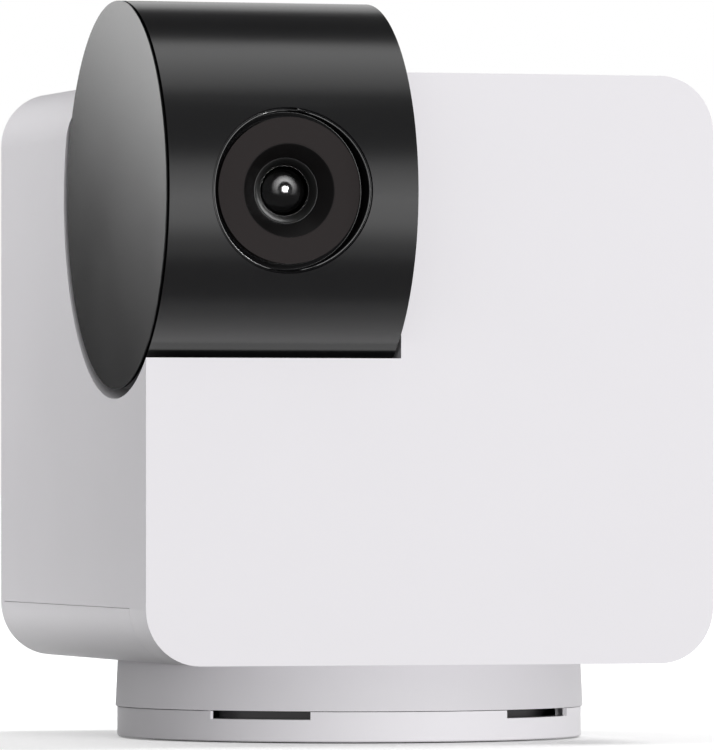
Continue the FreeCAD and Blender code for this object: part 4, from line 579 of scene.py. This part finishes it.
def fade(lamp, nothing, whole):
    """Lets a lamp grow smoothly from nothing at one height on it to whole at another."""
    tree = lamp.data.node_tree
    up = add_node(tree, "ShaderNodeSeparateXYZ", Vector=place_on(lamp)).outputs["Y"]
    dim(lamp, ramp(tree, up, nothing, whole, ease="SMOOTHSTEP"))


def strip(name, brightness, width, height, fade_foot=0.0, fade_top=0.0, **where):
    """A lamp as bright as this next to white's 1, with faded shares at its foot and its top."""
    lamp = area_lamp(name, WHITE_WATTS * brightness * width * height, width, height, **where)
    only_mirrored(lamp)
    lamp.data.use_nodes = True
    for share, edge in ((fade_foot, -height / 2), (fade_top, height / 2)):
        if share:
            fade(lamp, edge, edge * (1 - 2 * share))
    return lamp


print("a strip takes", WHITE_WATTS, "W to the square metre to look white")

# %% [markdown]
# Three strips draw the bands of light along the barrel: one low in front for the broad middle
# band, one overhead for the upper band with its crisp upper edge, and one close below it, just
# above the ledge of the cube, for the foot.

# %% Bands of light along the barrel
LOW_STRIP_AT = Vector((30, -150, 71)) * MM
UNDER_STRIP_AT = Vector((lens_axis.x, cube_front - 2.9 * MM, 51.7 * MM))
head = [nodes[name] for name in ("head_barrel", "lens_bezel", "ir_window", "lens_hood",
                                 "lens_barrel")]

low_strip = strip("low_strip", brightness=1.85, width=0.2, height=0.138, fade_foot=0.3,
                  fade_top=0.55, centre=LOW_STRIP_AT, azimuth=16, elevation=0)
top_strip = strip("top_strip", brightness=1.6, width=1.6, height=1.26, fade_foot=0.8,
                  fade_top=0.02, centre=target, azimuth=20, elevation=70.5, distance=1.4)
under_strip = strip("under_strip", brightness=1.2, width=0.05, height=0.0081, fade_top=1.0,
                    centre=UNDER_STRIP_AT, azimuth=0, elevation=-89)
for lamp in (low_strip, top_strip, under_strip):
    keep_to(lamp, head)

# %% [markdown]
# Between the bands the barrel has to stay dark, and it would mirror the bright room there. Grey
# cards stand in the way: one lies on the table, one hangs in front above the lens, and one leans
# over from behind. The one in front glows a little, as card does with a lamp behind it.

# %% Cards that keep the barrel dark between the bands
TABLE_CARD_AT = Vector((10, -97, 2)) * MM


def card(name, shade, width, height, glow=0.0, **where):
    """A card of this shade of grey, lit from behind by its glow."""
    felt = Finish(name, (shade, shade, shade), 0.9, specular=0.0)
    felt.set("Emission Color", WHITE)
    felt.set("Emission Strength", glow)
    felt.vary_colour(felt.noise(per_metre=20), by=0.05)
    mesh = rectangle(name, width, height)
    mesh.materials.append(felt.material)
    thing = put(name, mesh)
    only_mirrored(aim(thing, **where))


card("table_card", shade=0.7, width=0.3, height=0.058, centre=TABLE_CARD_AT,
     azimuth=0, elevation=90)
card("brow_card", shade=0.82, glow=0.22, width=1.0, height=0.62, centre=target,
     azimuth=21, elevation=40, distance=0.9)
card("over_card", shade=0.2, width=0.9, height=0.4, centre=target,
     azimuth=162, elevation=60, distance=0.6)

# %% [markdown]
# The end cap faces left and mirrors what stands behind on the left: a dark card and a strip
# above it, both slanted, so that the cap goes from light at the upper right to dark at the lower
# left. The two meet along one slanted edge, and reach up and down from there.

# %% Light on the end cap
BEHIND_LEFT, SLANT = -150, -50
REAR_WIDTH, REAR_CARD_HEIGHT, REAR_STRIP_HEIGHT = 0.5, 0.3, 0.2
meeting_edge = Vector((-140 * MM, 322 * MM, tilt_axis.z + 21 * MM))
slant_up = Quaternion(bearing(BEHIND_LEFT, 0), math.radians(SLANT)) @ Vector((0, 0, 1))

card("rear_card", shade=0.05, width=REAR_WIDTH, height=REAR_CARD_HEIGHT,
     centre=meeting_edge - REAR_CARD_HEIGHT / 2 * slant_up,
     azimuth=BEHIND_LEFT, elevation=0, roll=SLANT)
rear_strip = strip("rear_strip", brightness=1.28, width=REAR_WIDTH, height=REAR_STRIP_HEIGHT,
                   centre=meeting_edge + REAR_STRIP_HEIGHT / 2 * slant_up,
                   azimuth=BEHIND_LEFT, elevation=0, roll=SLANT)
keep_to(rear_strip, [nodes["head_end_cap"]])

# %% [markdown]
# The lens has lights of its own. A small strong round lamp makes the spark in it. Two more, above
# on the right, run along the polished edges of the bezel and of the lens barrel, which show them
# as short bright arcs.

# %% Spark in the lens and light on the polished edges
spark = strip("spark", brightness=160, width=0.16, height=0.15, centre=lens_axis,
              azimuth=15, elevation=6, distance=0.5)
spark.data.shape = "ELLIPSE"
bezel_light = strip("bezel_light", brightness=30, width=0.45, height=1.0, centre=lens_axis,
                    azimuth=104, elevation=33, distance=0.5, roll=30)
barrel_light = strip("barrel_light", brightness=120, width=0.12, height=0.45, centre=lens_axis,
                     azimuth=60, elevation=35, distance=0.5, roll=41)
for lamp, piece in ((spark, "front_lens"), (bezel_light, "lens_bezel"),
                    (barrel_light, "lens_barrel")):
    keep_to(lamp, [nodes[piece]])

# %% [markdown]
# A coated lens shows a soft glow round that spark, brighter above it. Here it is a large lamp
# just in front of the spark's, cut to a ring: it grows from nothing at the ring's inner radius,
# and sinks again towards the outer one. It fades towards its foot twice over, so that little is
# left of the ring's lower half.

# %% Halo in the lens
HALO_INNER, HALO_BRIGHTEST, HALO_OUTER = 0.165, 0.198, 0.38
halo = strip("halo", brightness=50, width=2 * HALO_OUTER, height=2 * HALO_OUTER,
             centre=lens_axis, azimuth=15, elevation=6, distance=0.48)
for _ in range(2):
    fade(halo, -HALO_OUTER, HALO_OUTER)
from_middle = length(halo.data.node_tree, place_on(halo))
for nothing in (HALO_INNER, HALO_OUTER):
    dim(halo, ramp(halo.data.node_tree, from_middle, nothing, HALO_BRIGHTEST))
keep_to(halo, [nodes["front_lens"]])

# %% [markdown]
# The camera is far away with a long lens, a little to the left of the front, and almost level
# with the cube's lower half. A long lens keeps the cube's edges nearly parallel. Its height and
# bearing are real measures, and the lens follows from how large the object should be.

# %% Camera
CAMERA_AT = Vector((-335.02, -1144.24, 36.47)) * MM
CAMERA_BEARING = math.radians(16.372)
CAMERA_RISE = math.radians(0.64)
LENS_MM, SENSOR_MM = 415.53, 36.0
NEAREST_SEEN, FARTHEST_SEEN = 0.05, 60.0

camera_data = bpy.data.cameras.new("camera")
camera_data.lens = LENS_MM
camera_data.sensor_width = SENSOR_MM
camera_data.clip_start = NEAREST_SEEN
camera_data.clip_end = FARTHEST_SEEN
camera = put("camera", camera_data)
camera.location = CAMERA_AT
ahead = Vector((math.sin(CAMERA_BEARING) * math.cos(CAMERA_RISE),
                math.cos(CAMERA_BEARING) * math.cos(CAMERA_RISE),
                math.sin(CAMERA_RISE)))
camera.rotation_mode = "QUATERNION"
camera.rotation_quaternion = ahead.to_track_quat("-Z", "Y")
bpy.context.scene.camera = camera
bpy.context.scene.view_settings.view_transform = "Standard"
print("camera", round(CAMERA_AT.length, 3), "m away")
